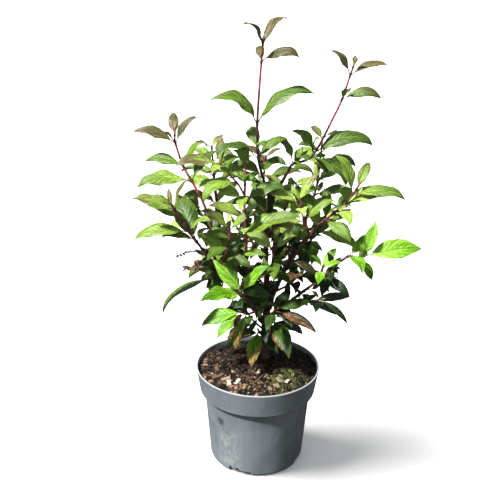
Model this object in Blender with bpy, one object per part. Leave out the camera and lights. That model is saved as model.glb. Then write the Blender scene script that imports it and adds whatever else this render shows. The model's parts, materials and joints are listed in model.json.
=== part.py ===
"""Potted viburnum: a young flowering shrub in a grey nursery pot, built piece by piece.

Run with: blender --background --python part.py

The pot stands on the origin, its flat underside at Z = 0, and -Y is the front.
The leader rises from the compost and forks into limbs. Each limb ends where a
leafy shoot begins, and each shoot is one mass of foliage: a stem, its side twigs
and its leaves, which stand in pairs. A leaf that would touch something already
grown is turned or shortened, and is left out if that doesn't free it.
Lengths are in metres and angles in degrees. A heading is measured from +X
towards +Y, and a rise from the level.
"""

import math
import random

import bmesh
import bpy
from mathutils import Matrix, Vector
from mathutils.bvhtree import BVHTree

# Pot: a three-litre nursery pot, turned about Z
POT_HEIGHT = 0.1535
RIM_RADIUS = 0.0950
COLLAR_HEIGHT = 0.0385
COLLAR_FOOT_RADIUS = 0.0891
NECK_RADIUS = 0.0816
HEEL_RADIUS = 0.0729
HEEL_ROUND = 0.0045
POT_WALL = 0.0018
POT_FLOOR = 0.0045
LIP_ROUND = 0.0008
ARC_STEPS = 2
POT_SEGMENTS = 40
FOOT_NOTCHES = 8
NOTCH_WIDTH = 0.030
NOTCH_HEIGHT = 0.0024
NOTCH_RADIUS = 0.058
NOTCH_TURN = 253.0

# Compost: fills the pot to a little below its rim
SOIL_DROP = 0.0065
SOIL_LUMP = 0.0022
SOIL_RINGS = 5
SOIL_SEED = 11
LEVEL_RADIUS = 0.030

# Gap between solids that meet
CLEAR = 0.0003

# Wood
FOOT_PLACE = (0.012, 0.030)
FLARE = 0.5
FLARE_HEIGHT = 0.009
LIMB_SIDES = 7
STEM_SIDES = 4
LIMB_STEPS = 2
STEM_STEPS = 2
STEM_RADII = (0.0015, 0.0010)
TWIG_RADII = (0.0012, 0.0009)

# Leaves, as shares of the blade's length
LEAF_WIDTH = 0.44
PETIOLE = 0.13
PETIOLE_RADIUS = 0.0006
ROOT_SHARE = 0.4
LEAF_THICKNESS = 0.0010
LEAF_FOLD = 14.0
LEAF_STATIONS = (0.24, 0.52, 0.80)
MIDRIB_STEPS = 12
BEND_TO_GROUND = 0.5
BEND_LATE = 1.45
BLADE_SKEW = 0.88
BLADE_FULLNESS = 0.85
YOUNG_REACH = 0.045
YOUNG_ARCH = 0.60
JITTER_LENGTH = 0.06
JITTER_TURN = 7.0
JITTER_SPREAD = 5.0
JITTER_ARCH = 10.0
JITTER_ROLL = 12.0

# Blades turn on their midribs towards the light, by a share of the way and by this much at most,
# and the turn is complete at this share of their length
LIGHT = (-0.25, -0.62, 0.74)
LIGHT_BY = 0.4
LIGHT_SHARE = 0.75
LIGHT_MOST = 48.0

# A leaf that is in the way is tried again, turned by this much and at this share of its length
SECOND_TRIES = [
    (0, 1.0), (-14, 1.0), (14, 1.0), (-28, 1.0), (28, 1.0), (-42, 0.9), (42, 0.9),
    (0, 0.8), (-20, 0.75), (20, 0.75), (0, 0.6), (-35, 0.6), (35, 0.6),
]
LEAF_CLEARANCE = 0.0006
ROOM_FROM = 0.08

# A limb leaves its parent at a distance along it. Its legs are (length, heading, rise),
# and its radii are those of its foot and its tip.
LIMBS = {
    "leader": dict(
        parent=None,
        at=0.0,
        legs=[(0.015, 0, 90), (0.087, 296, 88), (0.094, 238, 84), (0.080, 293, 84), (0.014, 201, 70)],
        radii=(0.0050, 0.0029),
    ),
    "left_limb": dict(
        parent="leader",
        at=0.061,
        legs=[(0.066, 212, 51), (0.049, 208, 50), (0.041, 197, 66), (0.038, 124, 75), (0.032, 134, 70)],
        radii=(0.0034, 0.0019),
    ),
    "left_side_bough": dict(
        parent="left_limb",
        at=0.120,
        legs=[(0.040, 222, 52), (0.034, 216, 56)],
        radii=(0.0023, 0.0018),
    ),
    "middle_left_limb": dict(
        parent="leader",
        at=0.075,
        legs=[(0.051, 218, 57), (0.057, 237, 73), (0.042, 245, 81), (0.033, 248, 83)],
        radii=(0.0028, 0.0019),
    ),
    "right_upper_bough": dict(
        parent="leader",
        at=0.263,
        legs=[(0.030, 20, 56), (0.026, 14, 60)],
        radii=(0.0025, 0.0022),
    ),
    "right_limb": dict(
        parent="leader",
        at=0.087,
        legs=[(0.074, 330, 68), (0.056, 330, 60), (0.040, 333, 57)],
        radii=(0.0032, 0.0022),
    ),
    "lower_right_limb": dict(
        parent="leader",
        at=0.067,
        legs=[(0.059, 327, 47), (0.064, 333, 45), (0.048, 336, 48)],
        radii=(0.0027, 0.0018),
    ),
    "front_limb": dict(
        parent="leader",
        at=0.041,
        legs=[(0.070, 256, 50), (0.044, 230, 52)],
        radii=(0.0026, 0.0018),
    ),
    "back_left_limb": dict(
        parent="leader",
        at=0.083,
        legs=[(0.060, 155, 50), (0.056, 146, 60), (0.046, 138, 66)],
        radii=(0.0028, 0.0019),
    ),
    "back_limb": dict(
        parent="leader",
        at=0.051,
        legs=[(0.062, 96, 50), (0.055, 84, 60), (0.050, 95, 68)],
        radii=(0.0029, 0.0019),
    ),
    "back_right_limb": dict(
        parent="leader",
        at=0.101,
        legs=[(0.056, 40, 52), (0.056, 34, 62), (0.044, 45, 66)],
        radii=(0.0028, 0.0019),
    ),
}

# A shoot stands on a limb's tip or at a distance along it. Its leaves are rows of
# (distance, length, length of its partner opposite, turn round the stem from +X, spread).
SHOOTS = {
    "big_leaf_shoot": dict(
        on="left_limb",
        at=0.108,
        legs=[(0.048, 318, 62), (0.044, 262, 74)],
        leaves=[(0.087, 0.088, 0.042, 0, 62), (0.058, 0.044, 0.050, 330, 50)],
        arch=60,
    ),
    "leader_tip": dict(
        on="leader",
        at="tip",
        legs=[(0.019, 201, 70), (0.026, 209, 76), (0.047, 234, 85), (0.085, 314, 86), (0.031, 0, 86)],
        leaves=[
            (0.016, 0.046, 0.050, 345, 30),
            (0.016, 0.034, 0.000, 250, 40),
            (0.042, 0.052, 0.066, 15, 34),
            (0.056, 0.042, 0.052, 290, 30),
            (0.092, 0.086, 0.000, 4, 30),
            (0.092, 0.000, 0.070, 4, 20),
            (0.177, 0.052, 0.000, 335, 44),
            (0.177, 0.000, 0.034, 290, 26),
            (0.198, 0.056, 0.050, 48, 28),
            (0.205, 0.018, 0.018, 95, 26),
        ],
        arch=104,
    ),
    "right_upper_shoot": dict(
        on="right_upper_bough",
        at="tip",
        legs=[
            (0.010, 0, 59), (0.031, 0, 26), (0.062, 0, 64),
            (0.026, 348, 68), (0.034, 348, 74), (0.013, 0, 74),
        ],
        leaves=[
            (0.010, 0.052, 0.048, 85, 40),
            (0.010, 0.000, 0.048, 0, 45),
            (0.036, 0.064, 0.000, 330, 40),
            (0.043, 0.086, 0.000, 5, 20),
            (0.043, 0.000, 0.046, 5, 44),
            (0.129, 0.056, 0.000, 350, 34),
            (0.129, 0.000, 0.034, 350, 20),
            (0.129, 0.036, 0.000, 260, 30),
            (0.163, 0.052, 0.044, 5, 38),
            (0.176, 0.020, 0.020, 95, 26),
        ],
        arch=84,
    ),
    "left_upper_shoot": dict(
        on="left_limb",
        at="tip",
        legs=[(0.018, 150, 62), (0.028, 160, 58), (0.024, 168, 60), (0.035, 172, 72), (0.018, 100, 86)],
        leaves=[
            (0.044, 0.052, 0.072, 10, 44),
            (0.068, 0.050, 0.058, 345, 40),
            (0.103, 0.048, 0.060, 0, 38),
            (0.103, 0.030, 0.000, 250, 30),
            (0.115, 0.040, 0.020, 75, 26),
        ],
        arch=64,
    ),
    "left_side_shoot": dict(
        on="left_side_bough",
        at="tip",
        legs=[(0.022, 214, 54), (0.030, 215, 58), (0.026, 214, 60)],
        leaves=[
            (0.006, 0.076, 0.000, 95, 40),
            (0.008, 0.000, 0.050, 345, 30),
            (0.026, 0.050, 0.082, 350, 50),
            (0.048, 0.000, 0.066, 320, 44),
            (0.066, 0.050, 0.056, 5, 30),
            (0.076, 0.024, 0.022, 80, 26),
        ],
        arch=66,
    ),
    "inner_left_shoot": dict(
        on="left_limb",
        at=0.134,
        legs=[(0.042, 290, 50), (0.030, 300, 66), (0.022, 273, 80)],
        leaves=[
            (0.034, 0.045, 0.050, 340, 46),
            (0.056, 0.050, 0.058, 60, 42),
            (0.086, 0.040, 0.045, 10, 36),
            (0.092, 0.020, 0.020, 90, 26),
        ],
        arch=70,
    ),
    "middle_left_shoot": dict(
        on="middle_left_limb",
        at="tip",
        legs=[(0.022, 243, 84), (0.031, 0, 89), (0.028, 80, 86)],
        leaves=[
            (0.022, 0.062, 0.074, 350, 36),
            (0.022, 0.048, 0.000, 265, 44),
            (0.050, 0.048, 0.044, 270, 38),
            (0.074, 0.045, 0.054, 60, 32),
            (0.081, 0.022, 0.022, 0, 26),
        ],
        twigs=[
            dict(
                at=0.034,
                legs=[(0.018, 180, 61), (0.020, 180, 49), (0.019, 180, 51)],
                leaves=[
                    (0.022, 0.000, 0.056, 20, 40),
                    (0.036, 0.045, 0.050, 300, 40),
                    (0.054, 0.044, 0.062, 20, 34),
                ],
            ),
        ],
        arch=92,
    ),
    "right_shoot": dict(
        on="right_limb",
        at="tip",
        legs=[(0.021, 346, 40), (0.022, 346, 43), (0.030, 347, 55), (0.014, 342, 62)],
        leaves=[
            (0.012, 0.048, 0.048, 300, 46),
            (0.030, 0.052, 0.050, 80, 42),
            (0.045, 0.072, 0.000, 15, 18),
            (0.052, 0.000, 0.050, 40, 40),
            (0.068, 0.070, 0.054, 350, 36),
            (0.078, 0.044, 0.022, 95, 28),
        ],
        arch=62,
    ),
    "right_side_shoot": dict(
        on="right_limb",
        at=0.150,
        legs=[(0.034, 221, 65), (0.015, 202, 69), (0.016, 198, 66)],
        leaves=[
            (0.024, 0.052, 0.052, 20, 46),
            (0.040, 0.056, 0.050, 100, 42),
            (0.056, 0.048, 0.052, 10, 40),
            (0.063, 0.022, 0.022, 80, 26),
        ],
        arch=64,
    ),
    "lower_right_shoot": dict(
        on="lower_right_limb",
        at="tip",
        legs=[(0.015, 332, 38), (0.014, 325, 0), (0.012, 330, 30)],
        leaves=[
            (0.012, 0.048, 0.048, 70, 44),
            (0.026, 0.040, 0.034, 300, 50),
            (0.034, 0.000, 0.046, 290, 44),
            (0.038, 0.080, 0.000, 20, 34),
        ],
        arch=52,
    ),
    "lower_right_side_shoot": dict(
        on="lower_right_limb",
        at=0.118,
        legs=[(0.024, 280, 45), (0.020, 285, 60)],
        leaves=[
            (0.018, 0.052, 0.042, 330, 60),
            (0.034, 0.036, 0.044, 70, 50),
            (0.042, 0.030, 0.026, 350, 36),
        ],
        arch=60,
    ),
    "front_shoot": dict(
        on="front_limb",
        at="tip",
        legs=[(0.014, 230, 40), (0.012, 240, 60)],
        leaves=[
            (0.018, 0.000, 0.064, 30, 34),
            (0.019, 0.058, 0.000, 120, 34),
            (0.024, 0.056, 0.000, 20, 34),
        ],
        arch=56,
    ),
    "front_low_shoot": dict(
        on="front_limb",
        at=0.084,
        legs=[(0.015, 215, 0), (0.014, 205, 25)],
        leaves=[
            (0.017, 0.052, 0.000, 250, 74),
            (0.024, 0.000, 0.064, 10, 42),
            (0.018, 0.000, 0.054, 70, 36),
            (0.026, 0.000, 0.034, 50, 58),
        ],
        arch=62,
    ),
    "front_right_shoot": dict(
        on="front_limb",
        at=0.066,
        legs=[(0.022, 318, 30), (0.018, 320, 45)],
        leaves=[
            (0.034, 0.070, 0.000, 315, 38),
            (0.018, 0.040, 0.000, 40, 66),
            (0.026, 0.046, 0.046, 62, 54),
            (0.038, 0.048, 0.034, 20, 44),
        ],
        arch=60,
    ),
    "foot_shoot": dict(
        on="leader",
        at=0.032,
        legs=[(0.024, 238, 48), (0.018, 246, 48)],
        leaves=[
            (0.037, 0.060, 0.000, 262, 64),
            (0.030, 0.000, 0.050, 130, 58),
            (0.024, 0.050, 0.050, 350, 62),
        ],
        arch=84,
    ),
    "foot_right_shoot": dict(
        on="leader",
        at=0.051,
        legs=[(0.026, 292, 52), (0.014, 300, 60)],
        leaves=[
            (0.034, 0.070, 0.000, 290, 62),
            (0.024, 0.056, 0.000, 335, 72),
            (0.020, 0.000, 0.060, 80, 42),
            (0.038, 0.040, 0.040, 40, 50),
        ],
        arch=84,
    ),
    "low_left_shoot": dict(
        on="left_limb",
        at=0.110,
        legs=[(0.012, 192, 22), (0.012, 196, 40)],
        leaves=[
            (0.014, 0.000, 0.102, 65, 34),
            (0.020, 0.044, 0.000, 110, 26),
            (0.014, 0.034, 0.000, 150, 50),
        ],
        arch=92,
    ),
    "low_right_shoot": dict(
        on="lower_right_limb",
        at=0.060,
        legs=[(0.028, 338, 10), (0.026, 330, 22)],
        leaves=[
            (0.018, 0.070, 0.050, 345, 46),
            (0.036, 0.060, 0.050, 28, 48),
            (0.050, 0.050, 0.044, 320, 46),
        ],
        arch=58,
    ),
    "low_centre_shoot": dict(
        on="leader",
        at=0.080,
        legs=[(0.026, 288, 45), (0.026, 285, 62)],
        leaves=[
            (0.022, 0.060, 0.060, 10, 60),
            (0.038, 0.060, 0.056, 100, 56),
            (0.050, 0.056, 0.056, 20, 48),
        ],
        arch=84,
    ),
    "low_inner_shoot": dict(
        on="leader",
        at=0.047,
        legs=[(0.026, 172, 38), (0.022, 184, 56)],
        leaves=[
            (0.022, 0.058, 0.060, 20, 60),
            (0.036, 0.056, 0.056, 110, 56),
            (0.046, 0.050, 0.050, 20, 48),
        ],
        arch=84,
    ),
    "low_outer_shoot": dict(
        on="right_limb",
        at=0.034,
        legs=[(0.026, 8, 28), (0.024, 358, 50)],
        leaves=[
            (0.024, 0.060, 0.060, 300, 60),
            (0.040, 0.058, 0.058, 30, 56),
            (0.048, 0.052, 0.052, 300, 48),
        ],
        arch=84,
    ),
    "centre_shoot": dict(
        on="leader",
        at=0.137,
        legs=[(0.030, 285, 45), (0.034, 280, 66), (0.024, 300, 78)],
        leaves=[
            (0.026, 0.060, 0.056, 10, 56),
            (0.048, 0.058, 0.056, 95, 50),
            (0.072, 0.054, 0.054, 20, 42),
            (0.085, 0.036, 0.036, 100, 30),
        ],
        arch=68,
    ),
    "centre_left_shoot": dict(
        on="leader",
        at=0.171,
        legs=[(0.030, 165, 48), (0.032, 158, 66), (0.020, 150, 76)],
        leaves=[
            (0.026, 0.056, 0.056, 0, 54),
            (0.048, 0.056, 0.056, 90, 48),
            (0.072, 0.050, 0.050, 10, 38),
        ],
        arch=68,
    ),
    "centre_right_shoot": dict(
        on="leader",
        at=0.205,
        legs=[(0.028, 30, 45), (0.030, 22, 64), (0.022, 10, 76)],
        leaves=[
            (0.024, 0.056, 0.056, 20, 52),
            (0.046, 0.056, 0.056, 110, 46),
            (0.068, 0.050, 0.050, 20, 38),
            (0.078, 0.030, 0.030, 110, 28),
        ],
        arch=66,
    ),
}

# The back of the crown: shoots by rule, at the tip of each back limb and at distances along it,
# each a number of pairs of leaves, every pair a quarter turn from the last
BACK_LIMBS = ("back_left_limb", "back_limb", "back_right_limb")
BACK_SEED = 31
BACK_SIDES = ((0.070, 62), (0.098, -64), (0.130, 50))
BACK_TIP_PAIRS = 5
BACK_SIDE_PAIRS = 3
BACK_STEP = 0.022
BACK_PAIR_AT = 0.92
BACK_RISE_TIP = 62
BACK_RISE_SIDE = 34
BACK_RISE_STEP = 12
BACK_RISE_MOST = 84
BACK_WANDER = 12
BACK_LEAF = 0.066
BACK_LEAF_TAPER = 0.45
BACK_LEAF_SIZES = (0.88, 1.08)
BACK_SPREAD = 44
BACK_ARCH = 80

# Colours, roughness and metallic value
MATERIALS = {
    "pot": ((0.235, 0.270, 0.290, 1), 0.55, 0.0),
    "compost": ((0.060, 0.040, 0.030, 1), 0.95, 0.0),
    "wood": ((0.115, 0.055, 0.035, 1), 0.70, 0.0),
    "bronze": ((0.170, 0.160, 0.045, 1), 0.45, 0.0),
    "fresh": ((0.130, 0.290, 0.040, 1), 0.42, 0.0),
    "leaf": ((0.075, 0.190, 0.035, 1), 0.42, 0.0),
    "shade": ((0.035, 0.100, 0.025, 1), 0.45, 0.0),
}
SHOOT_LOOKS = {
    "leader_tip": "bronze",
    "right_upper_shoot": "bronze",
    "left_upper_shoot": "bronze",
    "front_shoot": "fresh",
    "front_low_shoot": "fresh",
    "lower_right_shoot": "fresh",
    "foot_shoot": "shade",
    "foot_right_shoot": "shade",
    "low_right_shoot": "shade",
    "low_centre_shoot": "shade",
    "low_inner_shoot": "shade",
    "low_outer_shoot": "shade",
}


# Growth


def direction(heading, rise):
    h, r = math.radians(heading), math.radians(rise)
    return Vector((math.cos(r) * math.cos(h), math.cos(r) * math.sin(h), math.sin(r)))


def smooth_path(start, legs, steps):
    """Points of a limb or stem that passes smoothly through the ends of its legs."""
    corners = [Vector(start)]
    for length, heading, rise in legs:
        corners.append(corners[-1] + length * direction(heading, rise))
    first = corners[0] - (corners[1] - corners[0])
    last = corners[-1] + (corners[-1] - corners[-2])
    guide = [first] + corners + [last]
    points = []
    for a, b, c, d in zip(guide, guide[1:], guide[2:], guide[3:]):
        for step in range(steps):
            t = step / steps
            bend = (2 * a - 5 * b + 4 * c - d) * t**2 + (3 * b - a - 3 * c + d) * t**3
            points.append(0.5 * (2 * b + (c - a) * t + bend))
    points.append(corners[-1])
    return points


def path_length(points):
    return sum((b - a).length for a, b in zip(points, points[1:]))


def along(points, distance):
    """The point at a distance along a path, and the path's direction there."""
    for a, b in zip(points, points[1:]):
        step = (b - a).length
        if distance <= step:
            return a + (b - a) * (distance / step), (b - a).normalized()
        distance -= step
    way = (points[-1] - points[-2]).normalized()
    return points[-1] + way * distance, way


def round_stem(axis, turn):
    """The direction that stands out from a stem at a turn round it. Turn 0 is as near +X as it can be."""
    out = (Vector((1, 0, 0)) - axis * axis.x).normalized()
    return Matrix.Rotation(math.radians(turn), 3, axis) @ out


def leaf_curve(base, axis, out, length, spread, arch, roll):
    """Points down a leaf's middle from the stem, as (place, way, side, up), with its petiole first."""
    s = math.radians(spread)
    first = math.cos(s) * axis + math.sin(s) * out
    away = math.cos(s) * out - math.sin(s) * axis
    down = Vector((0, 0, -1))
    down -= first * down.dot(first)
    bend = ((1 - BEND_TO_GROUND) * away + BEND_TO_GROUND * down).normalized()
    side = bend.cross(first).normalized()
    total = length * (1 + PETIOLE)
    curve, place = [], base.copy()
    for step in range(MIDRIB_STEPS + 1):
        t = step / MIDRIB_STEPS
        angle = math.radians(arch) * t**BEND_LATE
        way = math.cos(angle) * first + math.sin(angle) * bend
        up = math.sin(angle) * first - math.cos(angle) * bend
        light = Vector(LIGHT)
        seek = math.degrees(math.atan2(light.dot(side), light.dot(up))) * LIGHT_SHARE
        seek = max(-LIGHT_MOST, min(LIGHT_MOST, seek))
        tilt = Matrix.Rotation(math.radians(seek + roll) * min(t / LIGHT_BY, 1.0), 3, way)
        curve.append((place.copy(), way, tilt @ side, tilt @ up))
        place += way * total / MIDRIB_STEPS
    return curve


def on_curve(curve, t):
    """Place, way, side and up at share t of a leaf's curve."""
    at = min(t, 1.0) * (len(curve) - 1)
    i = min(int(at), len(curve) - 2)
    f = at - i
    place = curve[i][0].lerp(curve[i + 1][0], f)
    return (place,) + tuple(curve[i][k].lerp(curve[i + 1][k], f).normalized() for k in (1, 2, 3))


def blade_half_width(t):
    """Half of the blade's width at share t of its length, as a share of its widest."""
    return math.sin(math.pi * t**BLADE_SKEW) ** BLADE_FULLNESS


def limb_paths():
    """The centre line of each limb, by name."""
    paths = {}
    for name, limb in LIMBS.items():
        start = Vector((*FOOT_PLACE, POT_HEIGHT - SOIL_DROP + CLEAR))
        if limb["parent"]:
            start, _ = along(paths[limb["parent"]], limb["at"])
        paths[name] = smooth_path(start, limb["legs"], LIMB_STEPS)
    return paths


def back_shoots(paths):
    """Rows for the shoots at the back of the crown, made by one rule."""
    rows = {}
    for limb in BACK_LIMBS:
        rng = random.Random(f"{limb} {BACK_SEED}")
        places = [("tip", 0, BACK_TIP_PAIRS)] + [(at, swing, BACK_SIDE_PAIRS) for at, swing in BACK_SIDES]
        for number, (at, swing, pairs) in enumerate(places):
            _, way = along(paths[limb], path_length(paths[limb]) if at == "tip" else at)
            heading = math.degrees(math.atan2(way.y, way.x)) + swing
            rise = BACK_RISE_TIP if at == "tip" else BACK_RISE_SIDE
            legs = []
            for _ in range(pairs):
                legs.append((BACK_STEP, heading + rng.uniform(-1, 1) * BACK_WANDER, rise))
                rise = min(rise + BACK_RISE_STEP, BACK_RISE_MOST)
            leaves = []
            for pair in range(pairs):
                size = BACK_LEAF * (1 - BACK_LEAF_TAPER * (pair / (pairs - 1)) ** 2)
                first = size * rng.uniform(*BACK_LEAF_SIZES)
                second = size * rng.uniform(*BACK_LEAF_SIZES)
                turn = heading + 90 * (pair + 1)
                leaves.append((BACK_STEP * (pair + BACK_PAIR_AT), first, second, turn, BACK_SPREAD))
            name = limb.replace("_limb", f"_shoot_{number + 1}")
            rows[name] = dict(on=limb, at=at, legs=legs, leaves=leaves, arch=BACK_ARCH)
    return rows


def stems_of(name, shoot, paths):
    """Each stem of a shoot, as (name, path, leaf rows, radii)."""
    limb = paths[shoot["on"]]
    if shoot["at"] == "tip":
        start, way = along(limb, path_length(limb))
        start = start + way * CLEAR
    else:
        start, _ = along(limb, shoot["at"])
    path = smooth_path(start, shoot["legs"], STEM_STEPS)
    stems = [(name, path, shoot["leaves"], STEM_RADII)]
    for number, twig in enumerate(shoot.get("twigs", [])):
        root, _ = along(path, twig["at"])
        side = smooth_path(root, twig["legs"], STEM_STEPS)
        stems.append((f"{name} twig {number}", side, twig["leaves"], TWIG_RADII))
    return stems


def leaves_of(stem, path, rows, arch):
    """Every leaf that a stem wants to bear, as its tries: each a curve and the leaf's length."""
    wanted = []
    for index, (distance, length, partner, turn, spread) in enumerate(rows):
        base, axis = along(path, distance)
        age = min((path_length(path) - distance) / YOUNG_REACH, 1.0)
        for side, blade in ((0, length), (1, partner)):
            rng = random.Random(f"{stem} {index} {side}")
            turned = turn + 180 * side + rng.uniform(-1, 1) * JITTER_TURN
            opened = spread + rng.uniform(-1, 1) * JITTER_SPREAD
            arched = (arch + rng.uniform(-1, 1) * JITTER_ARCH) * (YOUNG_ARCH + (1 - YOUNG_ARCH) * age)
            size = blade * (1 + rng.uniform(-1, 1) * JITTER_LENGTH)
            roll = rng.uniform(-1, 1) * JITTER_ROLL
            if blade == 0.0:
                continue
            tries = []
            for swing, share in SECOND_TRIES:
                out = round_stem(axis, turned + swing)
                curve = leaf_curve(base, axis, out, size * share, opened, arched, roll)
                tries.append((curve, size * share))
            wanted.append(tries)
    return wanted


# Solids


def clear_scene():
    for obj in list(bpy.data.objects):
        bpy.data.objects.remove(obj, do_unlink=True)


def material(name, look):
    colour, roughness, metallic = MATERIALS[look]
    made = bpy.data.materials.new(name)
    made.use_nodes = True
    shader = made.node_tree.nodes["Principled BSDF"]
    shader.inputs["Base Color"].default_value = colour
    shader.inputs["Roughness"].default_value = roughness
    shader.inputs["Metallic"].default_value = metallic
    made.diffuse_color = colour
    return made


def new_object(name, bm, look=None, smooth=False):
    """An object from a bmesh, its faces turned out."""
    bmesh.ops.recalc_face_normals(bm, faces=bm.faces)
    bmesh.ops.triangulate(bm, faces=bm.faces)
    mesh = bpy.data.meshes.new(name)
    bm.to_mesh(mesh)
    bm.free()
    if smooth:
        mesh.shade_smooth()
    obj = bpy.data.objects.new(name, mesh)
    bpy.context.scene.collection.objects.link(obj)
    if look:
        obj.data.materials.append(material(name, look))
    return obj


def apply_boolean(obj, operation, other=None, collection=None):
    """Cuts or joins with another object or a collection, and removes what was used."""
    modifier = obj.modifiers.new("Boolean", "BOOLEAN")
    modifier.operation = operation
    modifier.solver = "MANIFOLD" if collection else "EXACT"
    if other:
        modifier.object = other
    else:
        modifier.operand_type = "COLLECTION"
        modifier.collection = collection
    bpy.context.view_layer.update()
    graph = bpy.context.evaluated_depsgraph_get()
    mesh = bpy.data.meshes.new_from_object(obj.evaluated_get(graph), depsgraph=graph)
    obj.modifiers.remove(modifier)
    old, obj.data = obj.data, mesh
    mesh.name = obj.name
    bpy.data.meshes.remove(old)
    for used in [other] if other else list(collection.objects):
        bpy.data.objects.remove(used, do_unlink=True)
    if collection:
        bpy.data.collections.remove(collection)


def bridge(bm, lower, upper):
    """Faces between two rings of equal count, or from a ring to a single point."""
    count = max(len(lower), len(upper))
    for i in range(count):
        j = (i + 1) % count
        corners = [lower[i % len(lower)], lower[j % len(lower)]]
        corners += [upper[j % len(upper)], upper[i % len(upper)]]
        bm.faces.new(list(dict.fromkeys(corners)))


def turned(name, profile, look):
    """A solid turned about Z from (radius, height) points that start and end on the axis."""
    bm = bmesh.new()
    rings = []
    for radius, height in profile:
        if radius == 0:
            rings.append([bm.verts.new((0, 0, height))])
            continue
        ring = []
        for i in range(POT_SEGMENTS):
            a = 2 * math.pi * i / POT_SEGMENTS
            ring.append(bm.verts.new((radius * math.cos(a), radius * math.sin(a), height)))
        rings.append(ring)
    for lower, upper in zip(rings, rings[1:]):
        bridge(bm, lower, upper)
    return new_object(name, bm, look, smooth=True)


def arc(centre_r, centre_z, radius, start, end):
    """Profile points round part of a circle."""
    points = []
    for i in range(ARC_STEPS + 1):
        a = math.radians(start + (end - start) * i / ARC_STEPS)
        points.append((centre_r + radius * math.cos(a), centre_z + radius * math.sin(a)))
    return points


def tube(name, path, radii, sides, look=None, flared=False, facing=None):
    """A tapering tube along a path, closed at both ends. Its foot can face its own way."""
    bm = bmesh.new()
    total, gone = path_length(path), 0.0
    rings = []
    side = None
    for i, point in enumerate(path):
        before = point - path[i - 1] if i else path[1] - path[0]
        after = path[i + 1] - point if i + 1 < len(path) else before
        way = (before.normalized() + after.normalized()).normalized()
        if facing and i == 0:
            way = facing
        side = way.orthogonal() if side is None else side - way * side.dot(way)
        side.normalize()
        across = way.cross(side)
        gone += before.length if i else 0.0
        radius = radii[0] + (radii[1] - radii[0]) * gone / total
        if flared:
            radius *= 1 + FLARE * max(0.0, 1 - gone / FLARE_HEIGHT) ** 2
        ring = []
        for k in range(sides):
            a = 2 * math.pi * k / sides
            ring.append(bm.verts.new(point + radius * (math.cos(a) * side + math.sin(a) * across)))
        rings.append(ring)
    for lower, upper in zip(rings, rings[1:]):
        bridge(bm, lower, upper)
    bm.faces.new(rings[0])
    bm.faces.new(rings[-1])
    return new_object(name, bm, look, smooth=True)


def leaf_mesh(curve, length, grown=0.0, start=0.0):
    """A leaf as points and faces: three-cornered sections from the petiole to the tip.

    A grown leaf is thicker all round, to test for room, and can start further out.
    """
    foot = PETIOLE / (1 + PETIOLE)
    shares = [0.0, foot] + [foot + (1 - foot) * t for t in LEAF_STATIONS]
    fold = math.tan(math.radians(LEAF_FOLD))
    points, faces = [], []
    for share in shares:
        if share < start and share < foot:
            share = start
        place, _, side, up = on_curve(curve, share)
        t = (share - foot) / (1 - foot)
        half = PETIOLE_RADIUS if share else PETIOLE_RADIUS * ROOT_SHARE
        lift, drop = half / 2, half
        if t > 0:
            half = blade_half_width(t) * length * LEAF_WIDTH / 2
            lift = 0.5 * half * fold
            drop = LEAF_THICKNESS - lift / 2
        points.append(place - side * (half + grown) + up * (lift + grown))
        points.append(place + side * (half + grown) + up * (lift + grown))
        points.append(place - up * (drop + grown))
    place, way, _, _ = on_curve(curve, 1.0)
    points.append(place + way * grown)
    tip = len(points) - 1
    faces.append((0, 1, 2))
    for row in range(0, tip - 3, 3):
        for k in range(3):
            a, b = row + k, row + (k + 1) % 3
            faces.append((a, b, b + 3, a + 3))
    for k in range(3):
        faces.append((tip - 3 + k, tip - 3 + (k + 1) % 3, tip))
    return points, faces


def bmesh_of(points, faces):
    bm = bmesh.new()
    corners = [bm.verts.new(point) for point in points]
    for face in faces:
        bm.faces.new([corners[i] for i in face])
    return bm


class Space:
    """What has been grown so far, for leaves to keep clear of."""

    def __init__(self):
        self.trees = []

    def add(self, owner, kind, points, faces):
        tree = BVHTree.FromPolygons(points, faces, epsilon=0.0)
        middle = sum(points, Vector()) / len(points)
        reach = max((point - middle).length for point in points)
        self.trees.append((owner, kind, tree, middle, reach))

    def add_object(self, owner, kind, obj):
        points = [obj.matrix_world @ vertex.co for vertex in obj.data.vertices]
        self.add(owner, kind, points, [tuple(face.vertices) for face in obj.data.polygons])

    def free(self, owner, curve, length):
        """Whether a leaf has room. It may touch its own stem near its foot only."""
        blade_start = 2 * PETIOLE
        for start, own_stem in ((ROOM_FROM, False), (blade_start, True)):
            points, faces = leaf_mesh(curve, length, LEAF_CLEARANCE, start)
            tree = BVHTree.FromPolygons(points, faces, epsilon=0.0)
            middle = sum(points, Vector()) / len(points)
            reach = max((point - middle).length for point in points)
            for other, kind, grown, centre, size in self.trees:
                if (kind == "stem" and other == owner) != own_stem:
                    continue
                if (centre - middle).length < size + reach and tree.overlap(grown):
                    return False
        return True


# Sub-parts


def pot_profile():
    collar_foot = POT_HEIGHT - COLLAR_HEIGHT
    outer = [(0, 0)]
    outer += arc(HEEL_RADIUS - HEEL_ROUND, HEEL_ROUND, HEEL_ROUND, -90, 0)
    outer += [(NECK_RADIUS, collar_foot), (COLLAR_FOOT_RADIUS, collar_foot)]
    outer += arc(RIM_RADIUS - LIP_ROUND, POT_HEIGHT - LIP_ROUND, LIP_ROUND, 0, 90)
    inner = arc(RIM_RADIUS - POT_WALL + LIP_ROUND, POT_HEIGHT - LIP_ROUND, LIP_ROUND, 90, 180)
    inner += [
        (COLLAR_FOOT_RADIUS - POT_WALL, collar_foot + POT_WALL),
        (NECK_RADIUS - POT_WALL, collar_foot + POT_WALL),
        (HEEL_RADIUS - POT_WALL, POT_FLOOR),
        (0, POT_FLOOR),
    ]
    return outer + inner


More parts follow.
